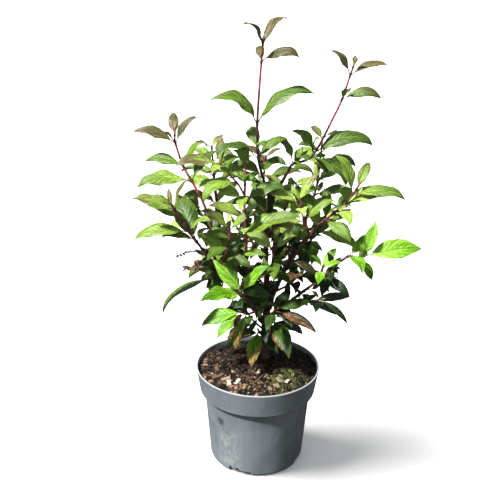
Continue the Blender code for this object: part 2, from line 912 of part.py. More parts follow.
def make_pot():
    pot = turned("pot", pot_profile(), "pot")
    for number in range(FOOT_NOTCHES):
        bm = bmesh.new()
        bmesh.ops.create_cube(bm, size=1.0)
        depth = RIM_RADIUS - NOTCH_RADIUS
        bmesh.ops.scale(bm, vec=(depth, NOTCH_WIDTH, 2 * NOTCH_HEIGHT), verts=bm.verts)
        bmesh.ops.translate(bm, vec=(NOTCH_RADIUS + depth / 2, 0, 0), verts=bm.verts)
        turn = math.radians(NOTCH_TURN + 360 * number / FOOT_NOTCHES)
        bmesh.ops.rotate(bm, matrix=Matrix.Rotation(turn, 3, "Z"), verts=bm.verts)
        apply_boolean(pot, "DIFFERENCE", other=new_object("notch cutter", bm))
    return pot


def make_compost():
    """A plug of compost on the pot's floor, lumpy on top and level round the leader's foot."""
    rng = random.Random(SOIL_SEED)
    top = POT_HEIGHT - SOIL_DROP
    step = POT_HEIGHT - COLLAR_HEIGHT + POT_WALL
    gap = POT_WALL + 2 * CLEAR
    slope = (RIM_RADIUS - COLLAR_FOOT_RADIUS) / COLLAR_HEIGHT
    top_radius = COLLAR_FOOT_RADIUS + slope * (top - step) - gap
    profile = [
        (0, POT_FLOOR + CLEAR),
        (HEEL_RADIUS - gap, POT_FLOOR + CLEAR),
        (NECK_RADIUS - gap, step + CLEAR),
        (COLLAR_FOOT_RADIUS - gap, step + CLEAR),
    ]
    profile += [(top_radius * ring / SOIL_RINGS, top) for ring in range(SOIL_RINGS, -1, -1)]
    compost = turned("compost", profile, "compost")
    for vertex in compost.data.vertices:
        away = math.hypot(vertex.co.x - FOOT_PLACE[0], vertex.co.y - FOOT_PLACE[1])
        if vertex.co.z > top - CLEAR and away > LEVEL_RADIUS:
            vertex.co.z += rng.uniform(-1.0, 1.0) * SOIL_LUMP
    return compost


def cut_by_parent(obj, parent_path, parent_radii, flared):
    """Cuts a limb's or stem's foot to the parent that it stands on, with a gap between them."""
    room = CLEAR / math.cos(math.pi / LIMB_SIDES)
    radii = (parent_radii[0] + room, parent_radii[1] + room)
    cutter = tube("saddle cutter", parent_path, radii, LIMB_SIDES, flared=flared)
    apply_boolean(obj, "DIFFERENCE", other=cutter)


def make_limbs(paths, space):
    for name, limb in LIMBS.items():
        parent = limb["parent"]
        flared, facing = (False, None) if parent else (True, Vector((0, 0, 1)))
        solid = tube(name, paths[name], limb["radii"], LIMB_SIDES, "wood", flared, facing)
        if parent:
            cut_by_parent(solid, paths[parent], LIMBS[parent]["radii"], parent == "leader")
        space.add_object(name, "limb", solid)


def make_stems(name, shoot, paths, space):
    """The stems of one shoot: its main one, cut to the limb that it stands on, and its side twigs."""
    on, made = shoot["on"], []
    for stem, path, _, radii in stems_of(name, shoot, paths):
        facing, look = None, None
        if not made:
            look = SHOOT_LOOKS.get(name, "leaf")
            if shoot["at"] == "tip":
                _, facing = along(paths[on], path_length(paths[on]))
        solid = tube(stem, path, radii, STEM_SIDES, look, facing=facing)
        if not made and shoot["at"] != "tip":
            cut_by_parent(solid, paths[on], LIMBS[on]["radii"], on == "leader")
        space.add_object(name, "stem", solid)
        made.append(solid)
    return made


def make_mass(name, shoot, paths, stems, space):
    """One mass of foliage: its stems and each leaf that has room, joined by one union."""
    joined = bpy.data.collections.new(name)
    bpy.context.scene.collection.children.link(joined)
    for twig in stems[1:]:
        bpy.context.scene.collection.objects.unlink(twig)
        joined.objects.link(twig)
    count = 0
    for stem, path, rows, _ in stems_of(name, shoot, paths):
        for tries in leaves_of(stem, path, rows, shoot["arch"]):
            room = next((one for one in tries if space.free(name, *one)), None)
            if room is None:
                continue
            points, faces = leaf_mesh(*room)
            leaf = new_object("leaf", bmesh_of(points, faces))
            bpy.context.scene.collection.objects.unlink(leaf)
            joined.objects.link(leaf)
            space.add(name, "leaf", points, faces)
            count += 1
    apply_boolean(stems[0], "UNION", collection=joined)
    return count


def build():
    clear_scene()
    space = Space()
    space.add_object("pot", "pot", make_pot())
    space.add_object("compost", "pot", make_compost())
    paths = limb_paths()
    make_limbs(paths, space)
    shoots = dict(SHOOTS)
    shoots.update(back_shoots(paths))
    stems = {name: make_stems(name, shoot, paths, space) for name, shoot in shoots.items()}
    leaves = 0
    for name, shoot in shoots.items():
        leaves += make_mass(name, shoot, paths, stems[name], space)
    print(f"{len(shoots)} shoots, {leaves} leaves")


if __name__ == "__main__":
    build()
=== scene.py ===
# Potted viburnum: the looks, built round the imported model.
# Lengths are in metres and angles in degrees. -Y is the front, and a heading runs from +X towards +Y.
import json
import math
import random

import bpy
import numpy as np
from mathutils import Matrix, Vector, noise
from mathutils.bvhtree import BVHTree

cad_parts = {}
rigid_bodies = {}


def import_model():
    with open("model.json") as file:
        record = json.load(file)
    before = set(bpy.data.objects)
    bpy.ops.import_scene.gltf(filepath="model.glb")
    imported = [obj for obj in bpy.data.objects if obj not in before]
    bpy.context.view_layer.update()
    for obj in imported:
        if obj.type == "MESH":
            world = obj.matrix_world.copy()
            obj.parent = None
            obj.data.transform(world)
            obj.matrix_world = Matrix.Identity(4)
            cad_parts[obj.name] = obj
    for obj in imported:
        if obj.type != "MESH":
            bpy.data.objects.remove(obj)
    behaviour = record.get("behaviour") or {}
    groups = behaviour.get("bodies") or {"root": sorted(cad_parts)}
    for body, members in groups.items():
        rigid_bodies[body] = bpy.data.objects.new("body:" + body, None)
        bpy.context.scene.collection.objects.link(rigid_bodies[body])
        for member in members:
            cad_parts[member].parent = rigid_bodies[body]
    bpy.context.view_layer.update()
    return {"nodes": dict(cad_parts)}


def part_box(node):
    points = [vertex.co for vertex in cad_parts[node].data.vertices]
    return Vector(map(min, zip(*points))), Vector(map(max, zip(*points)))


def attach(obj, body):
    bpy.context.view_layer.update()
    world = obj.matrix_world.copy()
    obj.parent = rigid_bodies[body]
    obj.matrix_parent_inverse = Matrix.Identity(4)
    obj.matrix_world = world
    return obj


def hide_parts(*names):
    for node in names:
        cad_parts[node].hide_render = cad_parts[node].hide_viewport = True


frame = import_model()

# Camera, floor and light

camera = {
    "place": (0.0, -1.0, 0.718),
    "pitch": 19.87,
    "yaw": -1.68,
    "roll": 0.57,
    "fieldOfView": 36.35,
}
studio = {
    "lightRise": 50.0,
    "lightColour": (1.0, 0.985, 0.95),
    "keyHeading": -142.0,
    "keyPower": 9.9,
    "keySoftness": 6.0,
    "floorLightHeading": 176.0,
    "floorLightPower": 8.4,
    "floorLightSoftness": 42.0,
    "skyColour": (0.96, 0.98, 1.0),
    "skyPower": 0.62,
    "backdrop": (1.0, 1.0, 1.0),
    "floorSize": 60.0,
    "floorColour": (0.85, 0.85, 0.85),
    "floorBounce": (0.08, 0.08, 0.08),
}


def direction(heading, rise):
    h, r = math.radians(heading), math.radians(rise)
    return Vector((math.cos(r) * math.cos(h), math.cos(r) * math.sin(h), math.sin(r)))


def addCamera():
    lens = bpy.data.cameras.new("camera")
    lens.sensor_fit = "HORIZONTAL"
    lens.angle = math.radians(camera["fieldOfView"])
    lens.clip_start = 0.01
    obj = bpy.data.objects.new("camera", lens)
    forward = direction(90 - camera["yaw"], -camera["pitch"])
    level = forward.cross(Vector((0, 0, 1))).normalized()
    above = level.cross(forward)
    roll = math.radians(camera["roll"])
    right = math.cos(roll) * level + math.sin(roll) * above
    up = math.cos(roll) * above - math.sin(roll) * level
    turn = Matrix((right, up, -forward)).transposed().to_4x4()
    obj.matrix_world = Matrix.Translation(camera["place"]) @ turn
    bpy.context.scene.collection.objects.link(obj)
    bpy.context.scene.camera = obj


def addLight(name, heading, power, softness, floor, floorIs):
    # floorIs says whether the light leaves the floor out, or lights nothing else
    lamp = bpy.data.lights.new(name, "SUN")
    lamp.energy = power
    lamp.angle = math.radians(softness)
    lamp.color = studio["lightColour"]
    obj = bpy.data.objects.new(name, lamp)
    towards = direction(heading, studio["lightRise"])
    obj.rotation_euler = towards.to_track_quat("Z", "Y").to_euler()
    bpy.context.scene.collection.objects.link(obj)
    lit = bpy.data.collections.new(name)
    lit.objects.link(floor)
    lit.collection_objects[0].light_linking.link_state = floorIs
    obj.light_linking.receiver_collection = lit


def splitByCamera(tree, seen, others, output):
    # one shader for what the camera sees, and another for the light that everything else gets
    split = addNode(tree, "ShaderNodeMixShader")
    rays = addNode(tree, "ShaderNodeLightPath")
    joinNodes(
        tree,
        (rays, "Is Camera Ray", split, "Fac"),
        (others, 0, split, 1),
        (seen, 0, split, 2),
        (split, "Shader", tree.nodes[output], "Surface"),
    )


def addRoom():
    # the backdrop beyond the floor's edge looks paler than the light that the room gives
    world = bpy.data.worlds.new("pale room")
    world.use_nodes = True
    tree = world.node_tree
    sky = tree.nodes["Background"]
    sky.inputs["Color"].default_value = (*studio["skyColour"], 1)
    sky.inputs["Strength"].default_value = studio["skyPower"]
    backdrop = addNode(tree, "ShaderNodeBackground", {"Color": (*studio["backdrop"], 1)})
    splitByCamera(tree, backdrop, sky, "World Output")
    bpy.context.scene.world = world
    bpy.context.scene.view_settings.view_transform = "Standard"


def addFloor():
    # pale to the camera, but it throws little light back up at the plant
    half = studio["floorSize"] / 2
    corners = [(-half, -half, 0), (half, -half, 0), (half, half, 0), (-half, half, 0)]
    mesh = bpy.data.meshes.new("floor")
    mesh.from_pydata(corners, [], [(0, 1, 2, 3)])
    floor = bpy.data.objects.new("floor", mesh)
    bpy.context.scene.collection.objects.link(floor)
    material, pale = plainMaterial("floor", studio["floorColour"], 0.9)
    tree = material.node_tree
    dull = addNode(tree, "ShaderNodeBsdfDiffuse", {"Color": (*studio["floorBounce"], 1)})
    splitByCamera(tree, pale, dull, "Material Output")
    mesh.materials.append(material)
    return floor


def addStudio():
    # the floor has a light of its own, softer than the key light, so that the shadow on it is faint
    addRoom()
    floor = addFloor()
    keyLight = (studio["keyHeading"], studio["keyPower"], studio["keySoftness"])
    floorLight = (studio["floorLightHeading"], studio["floorLightPower"], studio["floorLightSoftness"])
    addLight("key light", *keyLight, floor, "EXCLUDE")
    addLight("floor light", *floorLight, floor, "INCLUDE")


# Shader groups and materials


def newGroup(name, inputs, outputs):
    group = bpy.data.node_groups.new(name, "ShaderNodeTree")
    for label, value in inputs.items():
        socket = group.interface.new_socket(name=label, in_out="INPUT", socket_type="NodeSocketFloat")
        socket.default_value = value
    for label in outputs:
        group.interface.new_socket(name=label, in_out="OUTPUT", socket_type="NodeSocketFloat")
    return group, group.nodes.new("NodeGroupInput"), group.nodes.new("NodeGroupOutput")


def addNode(tree, kind, values=None, **settings):
    node = tree.nodes.new(kind)
    for label, value in settings.items():
        setattr(node, label, value)
    for label, value in (values or {}).items():
        node.inputs[label].default_value = value
    return node


def joinNodes(tree, *links):
    # each link as (node, its output, node, its input)
    for source, given, target, taken in links:
        tree.links.new(source.outputs[given], target.inputs[taken])


def grainGroup():
    # fine raised grain and its mask, from noise at one scale and cells at another
    inputs = {"Scale": 400.0, "Cells": 900.0, "Share": 0.5}
    group, given, put = newGroup("grain", inputs, ("Height", "Mask"))
    place = addNode(group, "ShaderNodeTexCoord")
    rough = addNode(group, "ShaderNodeTexNoise", {"Detail": 3.0, "Roughness": 0.6})
    cells = addNode(group, "ShaderNodeTexVoronoi", feature="DISTANCE_TO_EDGE")
    mix = addNode(group, "ShaderNodeMix", data_type="FLOAT")
    joinNodes(
        group,
        (place, "Object", rough, "Vector"),
        (place, "Object", cells, "Vector"),
        (given, "Scale", rough, "Scale"),
        (given, "Cells", cells, "Scale"),
        (given, "Share", mix, 0),
        (rough, "Fac", mix, 2),
        (cells, "Distance", mix, 3),
        (mix, 0, put, "Height"),
        (rough, "Fac", put, "Mask"),
    )
    return group


def streakGroup():
    # soft patches or streaks: noise stretched along Z, cut to a mask between two levels
    inputs = {"Across": 60.0, "Along": 8.0, "Low": 0.5, "High": 0.7}
    group, given, put = newGroup("streaks", inputs, ("Mask",))
    place = addNode(group, "ShaderNodeTexCoord")
    stretch = addNode(group, "ShaderNodeCombineXYZ")
    scaled = addNode(group, "ShaderNodeVectorMath", operation="MULTIPLY")
    patch = addNode(group, "ShaderNodeTexNoise", {"Scale": 1.0, "Detail": 4.0, "Roughness": 0.62})
    cut = addNode(group, "ShaderNodeMapRange", interpolation_type="SMOOTHSTEP")
    joinNodes(
        group,
        (given, "Across", stretch, "X"),
        (given, "Across", stretch, "Y"),
        (given, "Along", stretch, "Z"),
        (place, "Object", scaled, 0),
        (stretch, "Vector", scaled, 1),
        (scaled, "Vector", patch, "Vector"),
        (patch, "Fac", cut, "Value"),
        (given, "Low", cut, "From Min"),
        (given, "High", cut, "From Max"),
        (cut, "Result", put, "Mask"),
    )
    return group


def plainMaterial(name, colour, roughness):
    material = bpy.data.materials.new(name)
    material.use_nodes = True
    shader = material.node_tree.nodes["Principled BSDF"]
    shader.inputs["Base Color"].default_value = (*colour, 1)
    shader.inputs["Roughness"].default_value = roughness
    return material, shader


def rangeNode(tree, low, high, first=0.0, last=1.0):
    values = {"From Min": low, "From Max": high, "To Min": first, "To Max": last}
    return addNode(tree, "ShaderNodeMapRange", values)


def addGrain(material, shader, scale, cells, share, depth, low, high):
    # the grain group as bump of one depth, and as roughness from low to high
    tree = material.node_tree
    values = {"Scale": scale, "Cells": cells, "Share": share}
    grain = addNode(tree, "ShaderNodeGroup", values, node_tree=groups["grain"])
    bump = addNode(tree, "ShaderNodeBump", {"Distance": depth, "Strength": 1.0})
    gloss = rangeNode(tree, 0.3, 0.7, low, high)
    joinNodes(
        tree,
        (grain, "Height", bump, "Height"),
        (bump, "Normal", shader, "Normal"),
        (grain, "Mask", gloss, "Value"),
        (gloss, "Result", shader, "Roughness"),
    )


def streakNode(tree, across, along, low, high):
    values = {"Across": across, "Along": along, "Low": low, "High": high}
    return addNode(tree, "ShaderNodeGroup", values, node_tree=groups["streaks"])


def layColour(tree, under, colour, mask, amount):
    # one colour laid over another, or over an output, where the mask node's first output says
    scaled = addNode(tree, "ShaderNodeMath", operation="MULTIPLY")
    scaled.inputs[1].default_value = amount
    mix = addNode(tree, "ShaderNodeMix", data_type="RGBA")
    joinNodes(tree, (mask, 0, scaled, 0), (scaled, 0, mix, 0))
    if isinstance(under, tuple):
        mix.inputs[6].default_value = (*under, 1)
    else:
        tree.links.new(under, mix.inputs[6])
    mix.inputs[7].default_value = (*colour, 1)
    return mix.outputs[2]


def layStreaks(tree, colour, colours, layers):
    # further colours laid on in streaks, each as (its name, the values of its streaks, amount)
    for name, streaks, amount in layers:
        colour = layColour(tree, colour, colours[name], streakNode(tree, *streaks), amount)
    return colour


# Meshes from arrays


class Gather:
    # collects points, faces and the number of each face's tone for one joined mesh

    def __init__(self):
        self.points = []
        self.faces = []
        self.tones = []
        self.seams = []
        self.count = 0

    def add(self, points, faces, tones, seam=None):
        # tones is a number for each face, or one number for all of them
        self.points.append(points)
        for block in faces:
            self.faces.extend((block + self.count).tolist())
        self.tones.append(np.broadcast_to(tones, sum(len(block) for block in faces)))
        self.seams.append(np.zeros(len(points), bool) if seam is None else seam)
        self.count += len(points)

    def addTube(self, path, radii, sides, tone):
        points, faces, _ = tubeShell(path, radii, sides)
        self.add(points, faces, tone)

    def build(self, name, materials, slot, smooth=True):
        mesh = bpy.data.meshes.new(name)
        mesh.from_pydata(np.concatenate(self.points).tolist(), [], self.faces)
        for material in materials:
            mesh.materials.append(material)
        mesh.polygons.foreach_set("material_index", np.concatenate(self.tones).astype(np.int32))
        mesh.polygons.foreach_set("use_smooth", np.full(len(mesh.polygons), smooth))
        seam = np.concatenate(self.seams)
        if seam.any():
            ends = np.empty(len(mesh.edges) * 2, np.int32)
            mesh.edges.foreach_get("vertices", ends)
            ends = ends.reshape(-1, 2)
            sharp = mesh.attributes.new("sharp_edge", "BOOLEAN", "EDGE")
            sharp.data.foreach_set("value", seam[ends[:, 0]] & seam[ends[:, 1]])
        mesh.update()
        print(f"{name}: {sum(len(face) - 2 for face in self.faces)} triangles")
        obj = bpy.data.objects.new(name, mesh)
        bpy.context.scene.collection.objects.link(obj)
        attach(obj, "root")
        return obj


def unit(rows):
    return rows / np.linalg.norm(rows, axis=-1, keepdims=True)


def pathFrames(points):
    # direction, side and across at each point of a path, with no twist
    ways = unit(np.gradient(points, axis=0))
    sides = np.empty_like(points)
    side = np.array(Vector(ways[0]).orthogonal())
    for i, way in enumerate(ways):
        side = side - way * (side @ way)
        side = side / np.linalg.norm(side)
        sides[i] = side
    return ways, sides, np.cross(ways, sides)


def bandFaces(bands, segments, first):
    # the quads of each band between two rings of points, the first ring starting at point first
    k = np.arange(segments)
    after = (k + 1) % segments
    low = first + segments * np.arange(bands)[:, None]
    high = low + segments
    return np.stack([low + k, low + after, high + after, high + k], -1).reshape(-1, 4)


def fanFaces(centre, segments, first):
    # triangles from one point to the ring that starts at point first
    k = np.arange(segments)
    return np.stack([0 * k + centre, first + k, first + (k + 1) % segments], -1)


def tubeShell(points, radii, sides, relief=None):
    # a closed tube: points, faces, and the ring that each face starts from
    _, side, across = pathFrames(points)
    turn = 2 * np.pi * np.arange(sides) / sides
    reach = np.repeat(np.asarray(radii)[:, None], sides, axis=1)
    if relief is not None:
        reach = reach + relief
    out = np.cos(turn)[None, :, None] * side[:, None, :] + np.sin(turn)[None, :, None] * across[:, None, :]
    rings = points[:, None, :] + reach[:, :, None] * out
    count = len(points)
    ends = np.array([np.arange(sides)[::-1], (count - 1) * sides + np.arange(sides)])
    faceRings = np.concatenate([np.repeat(np.arange(count - 1), sides), [0, count - 1]])
    return rings.reshape(-1, 3), [bandFaces(count - 1, sides, 0), ends], faceRings


# Growth: the model's own rule, written again, so that each shoot and leaf stands where its solid does.
# Each leg is (length, heading, rise), and a limb's radii are those of its foot and its tip.

limbs = {
    "leader": dict(
        parent=None, at=0.0, radii=(0.0050, 0.0029),
        legs=[(0.015, 0, 90), (0.087, 296, 88), (0.094, 238, 84), (0.080, 293, 84), (0.014, 201, 70)],
    ),
    "left_limb": dict(
        parent="leader", at=0.061, radii=(0.0034, 0.0019),
        legs=[(0.066, 212, 51), (0.049, 208, 50), (0.041, 197, 66), (0.038, 124, 75), (0.032, 134, 70)],
    ),
    "left_side_bough": dict(
        parent="left_limb", at=0.120, radii=(0.0023, 0.0018),
        legs=[(0.040, 222, 52), (0.034, 216, 56)],
    ),
    "middle_left_limb": dict(
        parent="leader", at=0.075, radii=(0.0028, 0.0019),
        legs=[(0.051, 218, 57), (0.057, 237, 73), (0.042, 245, 81), (0.033, 248, 83)],
    ),
    "right_upper_bough": dict(
        parent="leader", at=0.263, radii=(0.0025, 0.0022),
        legs=[(0.030, 20, 56), (0.026, 14, 60)],
    ),
    "right_limb": dict(
        parent="leader", at=0.087, radii=(0.0032, 0.0022),
        legs=[(0.074, 330, 68), (0.056, 330, 60), (0.040, 333, 57)],
    ),
    "lower_right_limb": dict(
        parent="leader", at=0.067, radii=(0.0027, 0.0018),
        legs=[(0.059, 327, 47), (0.064, 333, 45), (0.048, 336, 48)],
    ),
    "front_limb": dict(
        parent="leader", at=0.041, radii=(0.0026, 0.0018),
        legs=[(0.070, 256, 50), (0.044, 230, 52)],
    ),
    "back_left_limb": dict(
        parent="leader", at=0.083, radii=(0.0028, 0.0019),
        legs=[(0.060, 155, 50), (0.056, 146, 60), (0.046, 138, 66)],
    ),
    "back_limb": dict(
        parent="leader", at=0.051, radii=(0.0029, 0.0019),
        legs=[(0.062, 96, 50), (0.055, 84, 60), (0.050, 95, 68)],
    ),
    "back_right_limb": dict(
        parent="leader", at=0.101, radii=(0.0028, 0.0019),
        legs=[(0.056, 40, 52), (0.056, 34, 62), (0.044, 45, 66)],
    ),
}

# A shoot stands on a limb's tip or at a distance along it. Its leaves are rows of
# (distance, length, length of its partner opposite, turn round the stem from +X, spread).
shoots = {
    "big_leaf_shoot": dict(
        on="left_limb", at=0.108, arch=60,
        legs=[(0.048, 318, 62), (0.044, 262, 74)],
        leaves=[(0.087, 0.088, 0.042, 0, 62), (0.058, 0.044, 0.050, 330, 50)],
    ),
    "leader_tip": dict(
        on="leader", at="tip", arch=104,
        legs=[(0.019, 201, 70), (0.026, 209, 76), (0.047, 234, 85), (0.085, 314, 86), (0.031, 0, 86)],
        leaves=[
            (0.016, 0.046, 0.050, 345, 30), (0.016, 0.034, 0.000, 250, 40), (0.042, 0.052, 0.066, 15, 34),
            (0.056, 0.042, 0.052, 290, 30), (0.092, 0.086, 0.000, 4, 30), (0.092, 0.000, 0.070, 4, 20),
            (0.177, 0.052, 0.000, 335, 44), (0.177, 0.000, 0.034, 290, 26), (0.198, 0.056, 0.050, 48, 28),
            (0.205, 0.018, 0.018, 95, 26),
        ],
    ),
    "right_upper_shoot": dict(
        on="right_upper_bough", at="tip", arch=84,
        legs=[
            (0.010, 0, 59), (0.031, 0, 26), (0.062, 0, 64),
            (0.026, 348, 68), (0.034, 348, 74), (0.013, 0, 74),
        ],
        leaves=[
            (0.010, 0.052, 0.048, 85, 40), (0.010, 0.000, 0.048, 0, 45), (0.036, 0.064, 0.000, 330, 40),
            (0.043, 0.086, 0.000, 5, 20), (0.043, 0.000, 0.046, 5, 44), (0.129, 0.056, 0.000, 350, 34),
            (0.129, 0.000, 0.034, 350, 20), (0.129, 0.036, 0.000, 260, 30), (0.163, 0.052, 0.044, 5, 38),
            (0.176, 0.020, 0.020, 95, 26),
        ],
    ),
    "left_upper_shoot": dict(
        on="left_limb", at="tip", arch=64,
        legs=[(0.018, 150, 62), (0.028, 160, 58), (0.024, 168, 60), (0.035, 172, 72), (0.018, 100, 86)],
        leaves=[
            (0.044, 0.052, 0.072, 10, 44), (0.068, 0.050, 0.058, 345, 40), (0.103, 0.048, 0.060, 0, 38),
            (0.103, 0.030, 0.000, 250, 30), (0.115, 0.040, 0.020, 75, 26),
        ],
    ),
    "left_side_shoot": dict(
        on="left_side_bough", at="tip", arch=66,
        legs=[(0.022, 214, 54), (0.030, 215, 58), (0.026, 214, 60)],
        leaves=[
            (0.006, 0.076, 0.000, 95, 40), (0.008, 0.000, 0.050, 345, 30), (0.026, 0.050, 0.082, 350, 50),
            (0.048, 0.000, 0.066, 320, 44), (0.066, 0.050, 0.056, 5, 30), (0.076, 0.024, 0.022, 80, 26),
        ],
    ),
    "inner_left_shoot": dict(
        on="left_limb", at=0.134, arch=70,
        legs=[(0.042, 290, 50), (0.030, 300, 66), (0.022, 273, 80)],
        leaves=[
            (0.034, 0.045, 0.050, 340, 46), (0.056, 0.050, 0.058, 60, 42), (0.086, 0.040, 0.045, 10, 36),
            (0.092, 0.020, 0.020, 90, 26),
        ],
    ),
    "middle_left_shoot": dict(
        on="middle_left_limb", at="tip", arch=92,
        legs=[(0.022, 243, 84), (0.031, 0, 89), (0.028, 80, 86)],
        leaves=[
            (0.022, 0.062, 0.074, 350, 36), (0.022, 0.048, 0.000, 265, 44), (0.050, 0.048, 0.044, 270, 38),
            (0.074, 0.045, 0.054, 60, 32), (0.081, 0.022, 0.022, 0, 26),
        ],
        twigs=[
            dict(
                at=0.034,
                legs=[(0.018, 180, 61), (0.020, 180, 49), (0.019, 180, 51)],
                leaves=[
                    (0.022, 0.000, 0.056, 20, 40), (0.036, 0.045, 0.050, 300, 40),
                    (0.054, 0.044, 0.062, 20, 34),
                ],
            ),
        ],
    ),
    "right_shoot": dict(
        on="right_limb", at="tip", arch=62,
        legs=[(0.021, 346, 40), (0.022, 346, 43), (0.030, 347, 55), (0.014, 342, 62)],
        leaves=[
            (0.012, 0.048, 0.048, 300, 46), (0.030, 0.052, 0.050, 80, 42), (0.045, 0.072, 0.000, 15, 18),
            (0.052, 0.000, 0.050, 40, 40), (0.068, 0.070, 0.054, 350, 36), (0.078, 0.044, 0.022, 95, 28),
        ],
    ),
    "right_side_shoot": dict(
        on="right_limb", at=0.150, arch=64,
        legs=[(0.034, 221, 65), (0.015, 202, 69), (0.016, 198, 66)],
        leaves=[
            (0.024, 0.052, 0.052, 20, 46), (0.040, 0.056, 0.050, 100, 42), (0.056, 0.048, 0.052, 10, 40),
            (0.063, 0.022, 0.022, 80, 26),
        ],
    ),
    "lower_right_shoot": dict(
        on="lower_right_limb", at="tip", arch=52,
        legs=[(0.015, 332, 38), (0.014, 325, 0), (0.012, 330, 30)],
        leaves=[
            (0.012, 0.048, 0.048, 70, 44), (0.026, 0.040, 0.034, 300, 50), (0.034, 0.000, 0.046, 290, 44),
            (0.038, 0.080, 0.000, 20, 34),
        ],
    ),
    "lower_right_side_shoot": dict(
        on="lower_right_limb", at=0.118, arch=60,
        legs=[(0.024, 280, 45), (0.020, 285, 60)],
        leaves=[
            (0.018, 0.052, 0.042, 330, 60), (0.034, 0.036, 0.044, 70, 50), (0.042, 0.030, 0.026, 350, 36),
        ],
    ),
    "front_shoot": dict(
        on="front_limb", at="tip", arch=56,
        legs=[(0.014, 230, 40), (0.012, 240, 60)],
        leaves=[
            (0.018, 0.000, 0.064, 30, 34), (0.019, 0.058, 0.000, 120, 34), (0.024, 0.056, 0.000, 20, 34),
        ],
    ),
    "front_low_shoot": dict(
        on="front_limb", at=0.084, arch=62,
        legs=[(0.015, 215, 0), (0.014, 205, 25)],
        leaves=[
            (0.017, 0.052, 0.000, 250, 74), (0.024, 0.000, 0.064, 10, 42), (0.018, 0.000, 0.054, 70, 36),
            (0.026, 0.000, 0.034, 50, 58),
        ],
    ),
    "front_right_shoot": dict(
        on="front_limb", at=0.066, arch=60,
        legs=[(0.022, 318, 30), (0.018, 320, 45)],
        leaves=[
            (0.034, 0.070, 0.000, 315, 38), (0.018, 0.040, 0.000, 40, 66), (0.026, 0.046, 0.046, 62, 54),
            (0.038, 0.048, 0.034, 20, 44),
        ],
    ),
    "foot_shoot": dict(
        on="leader", at=0.032, arch=84,
        legs=[(0.024, 238, 48), (0.018, 246, 48)],
        leaves=[
            (0.037, 0.060, 0.000, 262, 64), (0.030, 0.000, 0.050, 130, 58), (0.024, 0.050, 0.050, 350, 62),
        ],
    ),
    "foot_right_shoot": dict(
        on="leader", at=0.051, arch=84,
        legs=[(0.026, 292, 52), (0.014, 300, 60)],
        leaves=[
            (0.034, 0.070, 0.000, 290, 62), (0.024, 0.056, 0.000, 335, 72), (0.020, 0.000, 0.060, 80, 42),
            (0.038, 0.040, 0.040, 40, 50),
        ],
    ),
    "low_left_shoot": dict(
        on="left_limb", at=0.110, arch=92,
        legs=[(0.012, 192, 22), (0.012, 196, 40)],
        leaves=[
            (0.014, 0.000, 0.102, 65, 34), (0.020, 0.044, 0.000, 110, 26), (0.014, 0.034, 0.000, 150, 50),
        ],
    ),
    "low_right_shoot": dict(
        on="lower_right_limb", at=0.060, arch=58,
        legs=[(0.028, 338, 10), (0.026, 330, 22)],
        leaves=[
            (0.018, 0.070, 0.050, 345, 46), (0.036, 0.060, 0.050, 28, 48), (0.050, 0.050, 0.044, 320, 46),
        ],
    ),
    "low_centre_shoot": dict(
        on="leader", at=0.080, arch=84,
        legs=[(0.026, 288, 45), (0.026, 285, 62)],
        leaves=[
            (0.022, 0.060, 0.060, 10, 60), (0.038, 0.060, 0.056, 100, 56), (0.050, 0.056, 0.056, 20, 48),
        ],
    ),
    "low_inner_shoot": dict(
        on="leader", at=0.047, arch=84,
        legs=[(0.026, 172, 38), (0.022, 184, 56)],
        leaves=[
            (0.022, 0.058, 0.060, 20, 60), (0.036, 0.056, 0.056, 110, 56), (0.046, 0.050, 0.050, 20, 48),
        ],
    ),
    "low_outer_shoot": dict(
        on="right_limb", at=0.034, arch=84,
        legs=[(0.026, 8, 28), (0.024, 358, 50)],
        leaves=[
            (0.024, 0.060, 0.060, 300, 60), (0.040, 0.058, 0.058, 30, 56), (0.048, 0.052, 0.052, 300, 48),
        ],
    ),
    "centre_shoot": dict(
        on="leader", at=0.137, arch=68,
        legs=[(0.030, 285, 45), (0.034, 280, 66), (0.024, 300, 78)],
        leaves=[
            (0.026, 0.060, 0.056, 10, 56), (0.048, 0.058, 0.056, 95, 50), (0.072, 0.054, 0.054, 20, 42),
            (0.085, 0.036, 0.036, 100, 30),
        ],
    ),
    "centre_left_shoot": dict(
        on="leader", at=0.171, arch=68,
        legs=[(0.030, 165, 48), (0.032, 158, 66), (0.020, 150, 76)],
        leaves=[
            (0.026, 0.056, 0.056, 0, 54), (0.048, 0.056, 0.056, 90, 48), (0.072, 0.050, 0.050, 10, 38),
        ],
    ),
    "centre_right_shoot": dict(
        on="leader", at=0.205, arch=66,
        legs=[(0.028, 30, 45), (0.030, 22, 64), (0.022, 10, 76)],
        leaves=[
            (0.024, 0.056, 0.056, 20, 52), (0.046, 0.056, 0.056, 110, 46), (0.068, 0.050, 0.050, 20, 38),
            (0.078, 0.030, 0.030, 110, 28),
        ],
    ),
}

